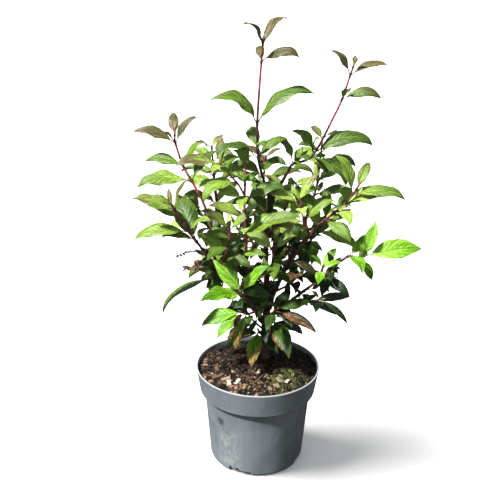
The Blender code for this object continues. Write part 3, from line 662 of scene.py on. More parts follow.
# Shoots at the back of the crown, made by one rule
backShoots = {
    "limbs": ("back_left_limb", "back_limb", "back_right_limb"),
    "seed": 31,
    "sides": ((0.070, 62), (0.098, -64), (0.130, 50)),
    "tipPairs": 5,
    "sidePairs": 3,
    "step": 0.022,
    "pairPlace": 0.92,
    "rises": {"tip": 62, "side": 34},
    "riseStep": 12,
    "riseMost": 84,
    "headingVary": 12,
    "leaf": 0.066,
    "leafTaper": 0.45,
    "leafVary": (0.88, 1.08),
    "spread": 44,
    "arch": 80,
}
growth = {
    "footPlace": (0.012, 0.030),
    "soilDrop": 0.0065,
    "clear": 0.0003,
    "pathSteps": 2,
    "petiole": 0.13,
    "midribSteps": 12,
    "bendToGround": 0.5,
    "bendLate": 1.45,
    "youngReach": 0.045,
    "youngArch": 0.60,
    "jitterLength": 0.06,
    "jitterTurn": 7.0,
    "jitterSpread": 5.0,
    "jitterArch": 10.0,
    "jitterRoll": 12.0,
    "light": (-0.25, -0.62, 0.74),
    "lightShare": 0.75,
    "lightMost": 48.0,
    "turnRate": 2.5,
    # the swings and the shares of its length that a leaf tries in turn, until one fits
    "tries": [
        (0, 1.0), (-14, 1.0), (14, 1.0), (-28, 1.0), (28, 1.0), (-42, 0.9), (42, 0.9),
        (0, 0.8), (-20, 0.75), (20, 0.75), (0, 0.6), (-35, 0.6), (35, 0.6),
    ],
    "stations": (0.24, 0.52, 0.80, 1.0),
    "within": 0.0012,
}
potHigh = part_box("pot")[1]
soilTop = potHigh[2] - growth["soilDrop"]
foot = growth["petiole"] / (1 + growth["petiole"])


def spline(a, b, c, d, t):
    # the point at t from b to c, on a smooth curve through all four
    bend = (2 * a - 5 * b + 4 * c - d) * t**2 + (3 * b - a - 3 * c + d) * t**3
    return 0.5 * (2 * b + (c - a) * t + bend)


def smoothPath(start, legs, steps):
    corners = [Vector(start)]
    for length, heading, rise in legs:
        corners.append(corners[-1] + length * direction(heading, rise))
    first = corners[0] - (corners[1] - corners[0])
    last = corners[-1] + (corners[-1] - corners[-2])
    guide = [first] + corners + [last]
    points = []
    for a, b, c, d in zip(guide, guide[1:], guide[2:], guide[3:]):
        points += [spline(a, b, c, d, step / steps) for step in range(steps)]
    points.append(corners[-1])
    return points


def pathLength(points):
    return sum((b - a).length for a, b in zip(points, points[1:]))


def along(points, distance):
    for a, b in zip(points, points[1:]):
        step = (b - a).length
        if distance <= step:
            return a + (b - a) * (distance / step), (b - a).normalized()
        distance -= step
    way = (points[-1] - points[-2]).normalized()
    return points[-1] + way * distance, way


def roundStem(axis, turn):
    out = (Vector((1, 0, 0)) - axis * axis.x).normalized()
    return Matrix.Rotation(math.radians(turn), 3, axis) @ out


def leafCurve(base, axis, out, length, spread, arch, roll):
    s = math.radians(spread)
    first = math.cos(s) * axis + math.sin(s) * out
    away = math.cos(s) * out - math.sin(s) * axis
    down = Vector((0, 0, -1))
    down -= first * down.dot(first)
    share = growth["bendToGround"]
    bend = ((1 - share) * away + share * down).normalized()
    side = bend.cross(first).normalized()
    total = length * (1 + growth["petiole"])
    light = Vector(growth["light"])
    steps = growth["midribSteps"]
    curve, place = [], base.copy()
    for step in range(steps + 1):
        t = step / steps
        angle = math.radians(arch) * t ** growth["bendLate"]
        way = math.cos(angle) * first + math.sin(angle) * bend
        up = math.sin(angle) * first - math.cos(angle) * bend
        seek = math.degrees(math.atan2(light.dot(side), light.dot(up))) * growth["lightShare"]
        seek = max(-growth["lightMost"], min(growth["lightMost"], seek))
        tilt = Matrix.Rotation(math.radians(seek + roll) * min(growth["turnRate"] * t, 1.0), 3, way)
        curve.append((place.copy(), way, tilt @ side, tilt @ up))
        place += way * total / steps
    return curve


def limbPaths():
    paths = {}
    for name, limb in limbs.items():
        start = Vector((*growth["footPlace"], soilTop + growth["clear"]))
        if limb["parent"]:
            start, _ = along(paths[limb["parent"]], limb["at"])
        paths[name] = smoothPath(start, limb["legs"], growth["pathSteps"])
    return paths


def backRows(paths):
    b = backShoots
    rows = {}
    for limb in b["limbs"]:
        rng = random.Random(f"{limb} {b['seed']}")
        places = [("tip", 0, b["tipPairs"])] + [(at, swing, b["sidePairs"]) for at, swing in b["sides"]]
        for number, (at, swing, pairs) in enumerate(places):
            _, way = along(paths[limb], pathLength(paths[limb]) if at == "tip" else at)
            heading = math.degrees(math.atan2(way.y, way.x)) + swing
            rise = b["rises"]["tip" if at == "tip" else "side"]
            legs = []
            for _ in range(pairs):
                vary = rng.uniform(-b["headingVary"], b["headingVary"])
                legs.append((b["step"], heading + vary, rise))
                rise = min(rise + b["riseStep"], b["riseMost"])
            leaves = []
            for pair in range(pairs):
                size = b["leaf"] * (1 - b["leafTaper"] * (pair / (pairs - 1)) ** 2)
                first, second = (size * rng.uniform(*b["leafVary"]) for _ in range(2))
                turn = heading + 90 * (pair + 1)
                leaves.append((b["step"] * (pair + b["pairPlace"]), first, second, turn, b["spread"]))
            name = limb.replace("_limb", f"_shoot_{number + 1}")
            rows[name] = dict(on=limb, at=at, legs=legs, leaves=leaves, arch=b["arch"])
    return rows


def stemsOf(name, shoot, paths):
    # each stem of a shoot, as (name, start, legs, leaf rows, side twig or not)
    limb = paths[shoot["on"]]
    if shoot["at"] == "tip":
        start, way = along(limb, pathLength(limb))
        start = start + way * growth["clear"]
    else:
        start, _ = along(limb, shoot["at"])
    stems = [(name, start, shoot["legs"], shoot["leaves"], False)]
    path = smoothPath(start, shoot["legs"], growth["pathSteps"])
    for number, twig in enumerate(shoot.get("twigs", [])):
        root, _ = along(path, twig["at"])
        stems.append((f"{name} twig {number}", root, twig["legs"], twig["leaves"], True))
    return stems


def leavesOf(stem, path, rows, arch):
    # every leaf that a stem wants to bear, as (row, side, distance from the tip, tries)
    for index, (distance, length, partner, turn, spread) in enumerate(rows):
        base, axis = along(path, distance)
        left = pathLength(path) - distance
        age = min(left / growth["youngReach"], 1.0)
        for side, blade in ((0, length), (1, partner)):
            rng = random.Random(f"{stem} {index} {side}")
            turned = turn + 180 * side + rng.uniform(-1, 1) * growth["jitterTurn"]
            opened = spread + rng.uniform(-1, 1) * growth["jitterSpread"]
            bent = arch + rng.uniform(-1, 1) * growth["jitterArch"]
            bent *= growth["youngArch"] + (1 - growth["youngArch"]) * age
            size = blade * (1 + rng.uniform(-1, 1) * growth["jitterLength"])
            roll = rng.uniform(-1, 1) * growth["jitterRoll"]
            if blade == 0.0:
                continue
            tries = []
            for swing, share in growth["tries"]:
                out = roundStem(axis, turned + swing)
                tries.append((leafCurve(base, axis, out, size * share, opened, bent, roll), size * share))
            yield index, side, left, tries


def modelTree(name):
    mesh = frame["nodes"][name].data
    points = [vertex.co for vertex in mesh.vertices]
    return BVHTree.FromPolygons(points, [tuple(face.vertices) for face in mesh.polygons])


def inModel(tree, curve):
    # whether the model has this leaf: its midrib lies in the solid at each station
    for station in growth["stations"]:
        at = (foot + (1 - foot) * station) * (len(curve) - 1)
        i = min(int(at), len(curve) - 2)
        place = curve[i][0].lerp(curve[i + 1][0], at - i)
        if tree.find_nearest(place)[3] > growth["within"]:
            return False
    return True


# Leaves

leafShape = {
    "width": (0.36, 0.44),
    "veins": 9,
    "smallVeins": 6,
    "smallUnder": 0.034,
    "veinHalf": 0.0062,
    "veinLift": 1.5,
    # veins on fresh and pale leaves are darker than the blade, as painted shade in the sunken veins; on the
    # other leaves they are paler
    "veinLifts": {"fresh": -2.0, "pale": -1.2},
    "veinSweep": 1.3,
    "thickness": 0.0004,
    "rib": 0.0005,
    "quilt": 0.0150,
    "fold": (12, 30),
    "droop": (0.15, 0.50),
    "wave": (0.05, 0.17),
    "waves": (1.5, 2.6),
    "tooth": 0.018,
    "tipCurl": (0.00, 0.09),
    "petioleRadius": 0.00075,
    "widestAt": 0.88,
    "fullness": 0.85,
    "tipTaper": 0.26,
    "leastHalf": 0.0005,
    "firstVein": 0.045,
    "veinSpan": 0.89,
    "veinSet": 0.45,
    "veinTaper": 0.55,
    "sweepCurve": 1.15,
    "bulgeCurve": 0.8,
    "tipRows": (0.3, 0.6, 0.85, 1.0),
    "tipBulge": 0.5,
    "toothed": (0.12, 0.97),
    "curlFrom": 0.72,
    "curlOver": 0.28,
    "ribTaper": 0.75,
    "ribHalf": 0.1,
    "stalkInto": 0.05,
    "stalkShares": (1.25, 1.0, 0.95, 0.95, 0.9, 0.5),
    "stalkSides": 8,
    "fullLength": 0.05,
    "stalkScales": (0.55, 1.15),
    "across": (0.045, 0.22, 0.45, 0.68, 0.87, 1.0),
    "between": (0.3, 0.7),
    "smallAcross": (0.06, 0.45, 0.82, 1.0),
    "smallBetween": (0.5,),
}


def leafFaces(t, across, strips):
    # the faces of both sides and the rim: where each lies, and whether it is blade, vein or underside
    count, width = t.shape
    top = np.arange(count * width).reshape(count, width)
    under = top.copy()
    under[:, 1:-1] = count * width + np.arange(count * (width - 2)).reshape(count, width - 2)
    quads, corners, kinds = [], [], []
    for i in range(count - 1):
        for j in range(width - 1):
            vein = strips[i] or j == width // 2 - 1
            quads.append((top[i, j], top[i, j + 1], top[i + 1, j + 1], top[i + 1, j]))
            quads.append((under[i + 1, j], under[i + 1, j + 1], under[i, j + 1], under[i, j]))
            aside = across[j : j + 2].mean()
            kinds += [(t[i, j], aside, int(vein)), (t[i, j], aside, 2 + int(vein))]
    for j in range(width - 1):
        for i, order in ((0, (0, 1, 2, 3)), (count - 1, (3, 2, 1, 0))):
            ends = [top[i, j], under[i, j], under[i, j + 1], top[i, j + 1]]
            ring = list(dict.fromkeys(ends[k] for k in order))
            (quads if len(ring) == 4 else corners).append(tuple(ring))
    rim = [(float(i >= width - 1), 0.0, 3) for i in range(len(quads) + len(corners) - len(kinds))]
    at, asides, kind = (np.array(column) for column in zip(*(kinds + rim)))
    seam = np.zeros(count * width + count * (width - 2), bool)
    seam[top[:, 0]] = seam[top[:, -1]] = True
    faces = [np.array(quads), np.array(corners)]
    return {"faces": faces, "faceT": at, "faceS": asides, "faceKind": kind.astype(int), "seam": seam}


def leafTemplate(veins, right, between):
    # a grid whose rows follow the side veins, each as (share, edge of a vein or 0, height between veins)
    first, span, veinSet = leafShape["firstVein"], leafShape["veinSpan"], leafShape["veinSet"]
    places = [first + span * (k + veinSet) / veins for k in range(veins)]
    rows, strips = [(0.0, 0, 0.0)], []
    before = 0.0
    for k, place in enumerate(places):
        for share in between if k else (0.5,):
            rows.append((before + (place - before) * share, 0, math.sin(math.pi * share)))
            strips.append(False)
        rows += [(place, -1, 0.0), (place, 1, 0.0)]
        strips += [False, True]
        before = place
    for share in leafShape["tipRows"]:
        rows.append((before + (1 - before) * share, 0, leafShape["tipBulge"] * math.sin(math.pi * share)))
        strips.append(False)
    across = np.concatenate([-np.array(right)[::-1], right])
    share, edge, height = (np.array(column)[:, None] for column in zip(*rows))
    out = np.abs(across)[None, :]
    u = share + edge * leafShape["veinHalf"] * (1 - leafShape["veinTaper"] * out)
    t = 1 - np.clip(1 - u, 0, 1) ** (1 + leafShape["veinSweep"] * out ** leafShape["sweepCurve"])
    bulge = height * np.sin(np.pi * out ** leafShape["bulgeCurve"])
    low, high = leafShape["toothed"]
    tooth = np.where(out == 1.0, np.where(edge == 0, -1.0, 1.0), 0.0) * (t > low) * (t < high)
    grid = {"t": t, "s": np.broadcast_to(across, t.shape), "bulge": bulge, "tooth": tooth}
    return {**grid, **leafFaces(t, across, strips)}


templates = {
    False: leafTemplate(leafShape["veins"], leafShape["across"], leafShape["between"]),
    True: leafTemplate(leafShape["smallVeins"], leafShape["smallAcross"], leafShape["smallBetween"]),
}


def sampleCurve(curve, shares):
    # place, way, side and up at shares of a leaf's curve, smoothly between its points
    place, way, side, up = (np.array([tuple(row[k]) for row in curve]) for k in range(4))
    last = len(place) - 1
    padded = np.concatenate([[2 * place[0] - place[1]], place, [2 * place[-1] - place[-2]]])
    at = np.clip(shares, 0, 1) * last
    i = np.minimum(at.astype(int), last - 1)
    f = (at - i)[..., None]
    spot = spline(*(padded[i + k] for k in range(4)), f)
    turned = [unit(rows[i] * (1 - f) + rows[i + 1] * f) for rows in (way, side, up)]
    return (spot, *turned)


def halfWidth(t):
    # half of the blade's width as a share of its widest, drawn in towards the tip
    full = np.sin(np.pi * t ** leafShape["widestAt"]) ** leafShape["fullness"]
    return full * (1 - leafShape["tipTaper"] * t**5)


def growLeaf(gather, curve, length, key, paint):
    rng = random.Random(f"{key} blade")
    template = templates[length < leafShape["smallUnder"]]
    t, s, out = template["t"], template["s"], np.abs(template["s"])
    spot, _, side, up = sampleCurve(curve, foot + (1 - foot) * t)
    turn = math.radians(paint["turn"])
    side, up = math.cos(turn) * side + math.sin(turn) * up, math.cos(turn) * up - math.sin(turn) * side
    width = length * (paint["width"] or rng.uniform(*leafShape["width"])) / 2
    half = np.maximum(halfWidth(t) * width, leafShape["leastHalf"])
    half = half * (1 + leafShape["tooth"] * template["tooth"])
    fold = math.radians(rng.uniform(*leafShape["fold"]))
    droop, wave = rng.uniform(*leafShape["droop"]), rng.uniform(*leafShape["wave"])
    waves = rng.uniform(*leafShape["waves"])
    phases = np.where(s < 0, rng.uniform(0, 1), rng.uniform(0, 1))
    lift = out * half * math.sin(fold) - droop * half * s**2
    lift = lift + wave * width * s**2 * np.sin(2 * np.pi * (waves * t + phases)) * np.sin(np.pi * t) ** 0.5
    lift = lift + leafShape["quilt"] * length * template["bulge"] * np.minimum(half / width, 1)
    curled = np.clip((t - leafShape["curlFrom"]) / leafShape["curlOver"], 0, 1) ** 2
    lift = lift - rng.uniform(*leafShape["tipCurl"]) * length * curled
    top = spot + side * (s * half * math.cos(fold))[..., None] + up * lift[..., None]
    rib = leafShape["rib"] * (1 - leafShape["ribTaper"] * t) * (out < leafShape["ribHalf"])
    under = (top - up * (leafShape["thickness"] + rib)[..., None])[:, 1:-1]
    points = np.concatenate([top.reshape(-1, 3), under.reshape(-1, 3)])
    gather.add(points, template["faces"], paintLeaf(template, rng, paint), template["seam"])
    shares = np.array(leafShape["stalkShares"])
    path = sampleCurve(curve, np.linspace(0.0, foot + leafShape["stalkInto"], len(shares)))[0]
    least, most = leafShape["stalkScales"]
    radius = leafShape["petioleRadius"] * min(max(length / leafShape["fullLength"], least), most)
    gather.addTube(path, radius * shares, leafShape["stalkSides"], toneIndex[paint["stalk"]])


# Colours of the leaves: each is one plain colour, dealt out face by face

ramps = {
    "green": [
        (0.003, 0.010, 0.002), (0.006, 0.020, 0.003), (0.014, 0.038, 0.005),
        (0.030, 0.068, 0.007), (0.056, 0.106, 0.009), (0.092, 0.160, 0.013),
        (0.145, 0.235, 0.022), (0.215, 0.330, 0.050), (0.310, 0.440, 0.120),
    ],
    "fresh": [
        (0.012, 0.045, 0.002), (0.030, 0.095, 0.002), (0.060, 0.165, 0.003),
        (0.100, 0.250, 0.005), (0.185, 0.365, 0.030), (0.270, 0.480, 0.115),
    ],
    "bronze": [
        (0.019, 0.021, 0.007), (0.038, 0.037, 0.010), (0.067, 0.059, 0.018),
        (0.107, 0.083, 0.033), (0.185, 0.127, 0.074), (0.318, 0.229, 0.163),
    ],
    "brown": [
        (0.020, 0.011, 0.007), (0.072, 0.033, 0.014), (0.140, 0.066, 0.024),
        (0.275, 0.155, 0.062), (0.281, 0.222, 0.060),
    ],
    "under": [(0.028, 0.047, 0.016), (0.062, 0.098, 0.027), (0.125, 0.187, 0.048)],
}
leafTones = {f"{name} {number}": tone for name, ramp in ramps.items() for number, tone in enumerate(ramp)}
leafTones["stalk red"] = (0.187, 0.035, 0.031)
leafTones["stalk dark"] = (0.047, 0.017, 0.016)
leafTones["stalk green"] = (0.125, 0.156, 0.039)
toneIndex = {name: number for number, name in enumerate(leafTones)}
leafFinish = {
    "roughness": (0.38, 0.56),
    "dryRoughness": (0.6, 0.8),
    "specular": 0.30,
    "drySpecular": 0.10,
    "grain": (700.0, 850.0, 0.65, 0.00010),
    "glow": 0.25,
    "glowRadius": (0.0012, 0.0020, 0.0005),
}
# each spread is how much more a change has gone to the tip and to the edges, how patchy it is and how fine
leafPainting = {
    "slopeFrom": 0.45,
    "blotch": 0.55,
    "grains": 0.5,
    "freshFrom": 3.6,
    "underFrom": 1.2,
    "underStep": 1.8,
    "bronzeSpread": (0.5, 0.25, 0.18, 0.2),
    "bronzeLevel": 0.45,
    "bronzeGain": 3.0,
    "bronzePale": 0.85,
    "bronzeBlotch": 0.6,
    "brownSpread": (0.55, 0.22, 0.22, 0.1),
    "brownMiddle": 1.5,
    "brownBlotch": 1.6,
    "brownGrains": 2.6,
    "brownGain": 1.6,
    "brownFull": 0.75,
    "brownRim": 0.56,
    # where one side and the tip of a leaf are painted in shade
    "shadedSide": 0.3,
    "shadedTip": 0.84,
}


def spreadOver(share, weights, t, s, blotch, grains):
    # how far a change of colour has gone on each face: it has come where this is over a half
    tip, edge, patchy, fine = weights
    return share + tip * (t - 0.5) + edge * np.abs(s) + patchy * blotch + fine * grains


def toneOn(ramp, level):
    return toneIndex[f"{ramp} 0"] + np.clip(np.round(level), 0, len(ramps[ramp]) - 1)


def paintLeaf(template, rng, paint):
    # the tone of each face: darker to the tip or the foot, blotched, with paler veins, but darker veins as
    # painted shade on fresh and pale leaves, and its own underside
    p = leafPainting
    t, s, kind = template["faceT"], template["faceS"], template["faceKind"]
    a, b, c = (rng.uniform(0, 1) for _ in range(3))
    # one slow wave along the leaf and one across it make the blotches
    blotch = 0.5 * np.sin(2 * np.pi * (1.7 * t + a) + 2 * np.sin(3 * s + 6 * b))
    blotch = blotch + 0.5 * np.sin(2 * np.pi * (1.6 * s + 2.3 * t + c))
    grains = np.random.default_rng(rng.randrange(2**31)).uniform(-0.5, 0.5, len(t))
    level = paint["level"] + paint["slope"] * (p["slopeFrom"] - t)
    level = level + p["blotch"] * blotch + p["grains"] * grains
    # painted shade: on fresh and pale leaves the lift is below 0, so their sunken veins are darker than the
    # blade
    lift = leafShape["veinLifts"].get(paint["kind"], leafShape["veinLift"])
    ramp, lower = ("fresh", p["freshFrom"]) if paint["kind"] == "fresh" else ("green", 0.0)
    tones = toneOn(ramp, level - lower)
    veins = toneOn(ramp, level - lower + lift)
    under = toneOn("under", (level - p["underFrom"]) / p["underStep"])
    if paint["bronze"] > 0:
        spread = spreadOver(paint["bronze"], p["bronzeSpread"], t, s, blotch, grains)
        pale = p["bronzeGain"] * np.maximum(spread - p["bronzePale"], 0)
        step = p["bronzeLevel"] * level + pale + p["bronzeBlotch"] * blotch
        step = np.clip(np.round(step), 0, len(ramps["bronze"]) - 1)
        taken = spread > 0.5
        tones = np.where(taken, toneOn("bronze", step), tones)
        veins = np.where(taken, toneOn("bronze", step + 1), veins)
        under = np.where(taken, toneOn("bronze", step + 1), under)
    if paint["brown"] > 0:
        spread = spreadOver(paint["brown"], p["brownSpread"], t, s, blotch, grains)
        step = p["brownMiddle"] + p["brownBlotch"] * blotch + p["brownGrains"] * grains
        step = np.clip(np.round(step - p["brownGain"] * (spread - p["brownFull"])), 0, 3)
        step = np.where(spread < p["brownRim"], 4, step)
        taken = spread > 0.5
        tones = np.where(taken, toneOn("brown", step), tones)
        veins = np.where(taken, toneOn("brown", step - 1), veins)
        under = np.where(taken, toneOn("brown", step), under)
    # painted shade: one side of the leaf along its length, and its tip, take the darkest green
    if paint["shaded"]:
        paintedShade = (s * paint["shaded"] > p["shadedSide"]) | (t > p["shadedTip"])
        tones, veins = (np.where(paintedShade, toneIndex["green 0"], one) for one in (tones, veins))
    return np.select([kind == 0, kind == 1, kind == 2], [tones, veins, under], toneIndex["under 2"])


def leafMaterials():
    made = []
    for name, colour in leafTones.items():
        material, shader = plainMaterial(f"leaf {name}", colour, 0.42)
        shader.inputs["Specular IOR Level"].default_value = leafFinish["specular"]
        shader.inputs["Subsurface Weight"].default_value = leafFinish["glow"]
        shader.inputs["Subsurface Radius"].default_value = leafFinish["glowRadius"]
        shader.inputs["Subsurface Scale"].default_value = 1.0
        roughness = leafFinish["roughness"]
        if name.startswith("brown"):
            roughness = leafFinish["dryRoughness"]
            shader.inputs["Specular IOR Level"].default_value = leafFinish["drySpecular"]
        addGrain(material, shader, *leafFinish["grain"], *roughness)
        made.append(material)
    return made


# Which colours a leaf takes: by the kind of its shoot and how near the tip it stands, or by itself

shootKinds = {
    "bronze": ("leader_tip", "right_upper_shoot", "back_shoot_1"),
    "pink": ("left_upper_shoot",),
    "olive": ("left_side_shoot", "middle_left_shoot", "back_left_shoot_1", "back_right_shoot_1"),
    "fresh": ("front_shoot", "front_low_shoot", "lower_right_shoot", "lower_right_side_shoot"),
    "pale": ("big_leaf_shoot",),
    "shade": (
        "foot_shoot", "foot_right_shoot", "low_centre_shoot", "low_inner_shoot",
        "low_outer_shoot", "front_right_shoot", "limb spur",
    ),
    "black": ("low_right_shoot",),
}
leafKinds = {shoot: kind for kind, owned in shootKinds.items() for shoot in owned}
# the shade and black kinds are painted shade: dark tones for the leaves low in and inside the crown, where
# its shade falls
kindLevels = {
    "bronze": (2.6, 4.6),
    "pink": (3.4, 5.6),
    "olive": (3.4, 6.5),
    "fresh": (6.2, 7.6),
    "pale": (4.8, 5.6),
    "mid": (3.3, 7.3),
    "dull": (3.4, 4.0),
    "shade": (0.4, 2.9),
    "umber": (0.4, 1.4),
    "black": (-0.5, 0.7),
}
# single leaves, by shoot, row and side, that differ from their shoot: in kind, in how far they are browned,
# in width, in the side painted in shade along its length, or in how far they are turned
oddLeaves = {
    ("back_left_shoot_3", 0, 1): dict(brown=0.50),
    ("back_shoot_2", 0, 0): dict(brown=0.40),
    ("back_shoot_3", 2, 0): dict(kind="black"),
    ("centre_shoot", 1, 0): dict(kind="black"),
    ("foot_right_shoot", 0, 0): dict(width=0.34),
    ("foot_right_shoot", 2, 1): dict(brown=0.50),
    ("foot_shoot", 0, 0): dict(kind="fresh", brown=0.36, width=0.46),
    ("foot_shoot", 2, 1): dict(brown=0.40),
    ("front_low_shoot", 0, 0): dict(brown=0.42),
    ("front_low_shoot", 3, 1): dict(brown=0.80),
    ("front_right_shoot", 0, 0): dict(brown=0.85, width=0.25, shaded=-1.0),
    ("front_right_shoot", 1, 0): dict(kind="fresh"),
    ("inner_left_shoot", 1, 0): dict(kind="shade"),
    ("left_side_shoot", 1, 1): dict(width=0.28),
    ("low_left_shoot", 0, 1): dict(kind="dull", width=0.30, shaded=-1.0, turn=-28),
    ("low_left_shoot", 1, 0): dict(brown=0.60),
    ("low_outer_shoot", 0, 0): dict(brown=0.95),
    ("low_outer_shoot", 1, 1): dict(brown=0.60),
    ("low_right_shoot", 0, 0): dict(width=0.24),
    ("low_right_shoot", 1, 0): dict(width=0.24, turn=-35),
    ("low_right_shoot", 2, 0): dict(width=0.20, turn=-35),
    ("lower_right_side_shoot", 0, 0): dict(kind="black"),
    ("lower_right_side_shoot", 0, 1): dict(kind="umber"),
    ("right_side_shoot", 0, 1): dict(kind="olive", brown=0.36),
}
# the bronze of a leaf at the tip, and the distance from the tip over which it falls by 1
bronzing = {"bronze": (0.95, 0.075), "pink": (0.95, 0.065), "olive": (0.60, 0.05)}
leafAges = {
    "umberBronze": 0.80,
    "midBronze": 0.35,
    "midBronzeReach": 0.015,
    "midTipLift": 1.0,
    "midTipReach": 0.03,
    "midDimFrom": 0.04,
    "midDimRate": -30,
    "midDimReach": 0.05,
    "redStalkReach": 0.05,
    "slope": (-0.6, 3.0),
    "bronzeVary": 0.1,
}


def leafPaint(shoot, stem, index, side, left):
    odd = oddLeaves.get((stem, index, side), {})
    kind = odd.get("kind", leafKinds.get(shoot, "mid"))
    rng = random.Random(f"{stem} {index} {side} colour")
    level = rng.uniform(*kindLevels[kind])
    bronze = 0.0
    if kind in bronzing:
        most, reach = bronzing[kind]
        bronze = most - left / reach
    elif kind == "umber":
        bronze = leafAges["umberBronze"]
    elif kind == "mid" and left < leafAges["midBronzeReach"]:
        bronze = leafAges["midBronze"]
    if kind == "mid" and left < leafAges["midTipReach"]:
        level += leafAges["midTipLift"]
    elif kind == "mid":
        beyond = min(max(left - leafAges["midDimFrom"], 0), leafAges["midDimReach"])
        level += leafAges["midDimRate"] * beyond
    stalk = "stalk red" if left < leafAges["redStalkReach"] else "stalk dark"
    if kind in ("fresh", "pale"):
        stalk = "stalk green"
    slope = rng.uniform(*leafAges["slope"])
    if bronze > 0:
        bronze = max(bronze + rng.uniform(-leafAges["bronzeVary"], leafAges["bronzeVary"]), 0.0)
    return {
        "kind": kind,
        "level": level,
        "slope": slope,
        "bronze": max(bronze, 0.0),
        "brown": odd.get("brown", 0.0),
        "stalk": stalk,
        "width": odd.get("width"),
        "turn": odd.get("turn", 0.0),
        "shaded": odd.get("shaded", 0.0),
    }


# Twigs: the stems of the shoots, the small spurs that carry leaves in their axils, and the buds

twigShape = {
    "pathSteps": 10,
    "radii": (0.0020, 0.0014),
    "sideRadii": (0.0015, 0.0011),
    "spacing": 0.0013,
    "sides": 10,
    "swelling": 0.36,
    "swellingReach": 0.0016,
    "overlap": 0.003,
    "newReach": 0.13,
    "nodeHalf": 0.0015,
    "crimson": (0.25, 0.55),
    "redBrown": (0.45, 0.3),
    "youngKinds": ("bronze", "pink", "olive", "mid"),
}
spurShape = {
    "chance": {"bronze": 0.25, "pink": 0.25, "olive": 0.40, "fresh": 0.15},
    "chanceElse": 0.80,
    "old": 0.040,
    "length": (0.004, 0.010),
    "radius": 0.0006,
    "footScale": 1.3,
    "sides": 8,
    "rootAlong": 0.0015,
    "lean": (0.75, 0.66),
    "turnVary": 12,
    "leaf": (0.015, 0.032),
    "leafVary": (0.8, 1.1),
    "leafTurn": (60, 120),
    "leafTurnVary": 15,
    "leafSpread": (22, 44),
    "leafArch": (25, 60),
    "leafRoll": 12,
    "leafInto": 0.0004,
    "limbFrom": 0.045,
    "limbStep": 0.011,
    "limbStepVary": (0.7, 1.3),
    "limbHeights": (0.20, 0.40),
    "lift": {"bronze": 0.8, "pink": 0.8, "olive": 0.5, "fresh": 0.5, "pale": -2.0, "mid": -0.8},
    "liftElse": 0.3,
}
budShape = {
    "steps": 9,
    "sides": 10,
    "radius": 0.26,
    "span": 0.94,
    "start": 0.05,
    "early": 0.62,
    "least": 0.00006,
    "tipLength": 0.0058,
    "tipInto": 0.001,
    "sideLength": 0.0032,
    "sideAlong": 0.0012,
    "sideOut": 0.0008,
    "sideLean": 0.5,
}
twigTones = {
    "crimson": (0.255, 0.034, 0.041),
    "maroon": (0.071, 0.015, 0.017),
    "dark": (0.026, 0.011, 0.010),
    "red brown": (0.128, 0.041, 0.022),
    "dry": (0.034, 0.029, 0.017),
}
budTones = {
    "scale red": (0.173, 0.053, 0.034),
    "scale green": (0.128, 0.158, 0.045),
    "scale brown": (0.075, 0.038, 0.019),
    "scale dry": (0.120, 0.062, 0.030),
    "scale black": (0.012, 0.012, 0.014),
}
# bare stalks left from old flowers: limb, distance along it, legs, and the dry scales on the last part
dryStalks = [
    ("left_side_bough", 0.057, [(0.016, 178, 8), (0.013, 186, -10), (0.013, 192, -20)], 9, 0.0062),
    ("left_side_bough", 0.020, [(0.016, 196, 14), (0.016, 190, 4), (0.014, 184, -6)], 30, 0.0095),
]
dryShape = {
    "radii": (0.0014, 0.0007),
    "sides": 8,
    "scalesFrom": 0.55,
    "blackShare": 0.25,
    "scaleVary": (0.5, 1.0),
}
twigIndex = {name: number for number, name in enumerate(twigTones)}
budIndex = {name: number for number, name in enumerate(budTones)}


def evenPath(points, spacing):
    # the same path with points at one spacing, and each one's distance along it
    points = np.array([tuple(point) for point in points])
    gone = np.concatenate([[0], np.cumsum(np.linalg.norm(np.diff(points, axis=0), axis=1))])
    at = np.linspace(0, gone[-1], max(int(gone[-1] / spacing), 4) + 1)
    return np.stack([np.interp(at, gone, points[:, k]) for k in range(3)], axis=1), at


def growStem(gather, start, legs, rows, side, young):
    path, at = evenPath(smoothPath(start, legs, twigShape["pathSteps"]), twigShape["spacing"])
    length = at[-1]
    low, high = twigShape["sideRadii"] if side else twigShape["radii"]
    radii = low + (high - low) * at / length
    nodes = sorted({row[0] for row in rows})
    for node in nodes:
        near = np.exp(-(((at - node) / twigShape["swellingReach"]) ** 2))
        radii = radii * (1 + twigShape["swelling"] * near)
    if not side:
        path[0] -= unit(path[1] - path[0]) * twigShape["overlap"]
    points, faces, rings = tubeShell(path, radii, twigShape["sides"])
    gather.add(points, faces, stemTones(at, nodes, length, young)[np.minimum(rings, len(at) - 2)])


def stemTones(at, nodes, length, young):
    # dark wood at the foot and the nodes, then maroon, and crimson or red brown below each newer node
    new, newShare = twigShape["crimson" if young else "redBrown"]
    newTone = twigIndex["crimson" if young else "red brown"]
    tones = np.full(len(at), twigIndex["dark"])
    for low, high in zip([0.0] + nodes, nodes + [length]):
        inside = (at >= low) & (at <= high)
        share = (at - low) / max(high - low, 0.001)
        newness = 1 - (length - at) / twigShape["newReach"]
        tones = np.where(inside & (newness > 0.0), twigIndex["maroon"], tones)
        tones = np.where(inside & (newness > new) & (share > newShare), newTone, tones)
    for node in nodes:
        tones = np.where(np.abs(at - node) < twigShape["nodeHalf"], twigIndex["dark"], tones)
    return tones


def growBud(gather, place, way, length, tone):
    # a pointed bud, widest a third of the way up
    b = budShape
    shares = np.linspace(0, 1, b["steps"])
    path = np.array(place)[None, :] + np.array(way)[None, :] * (shares * length)[:, None]
    full = np.sin(np.pi * np.clip(shares * b["span"] + b["start"], 0, 1) ** b["early"])
    gather.addTube(path, b["radius"] * length * full + b["least"], b["sides"], budIndex[tone])


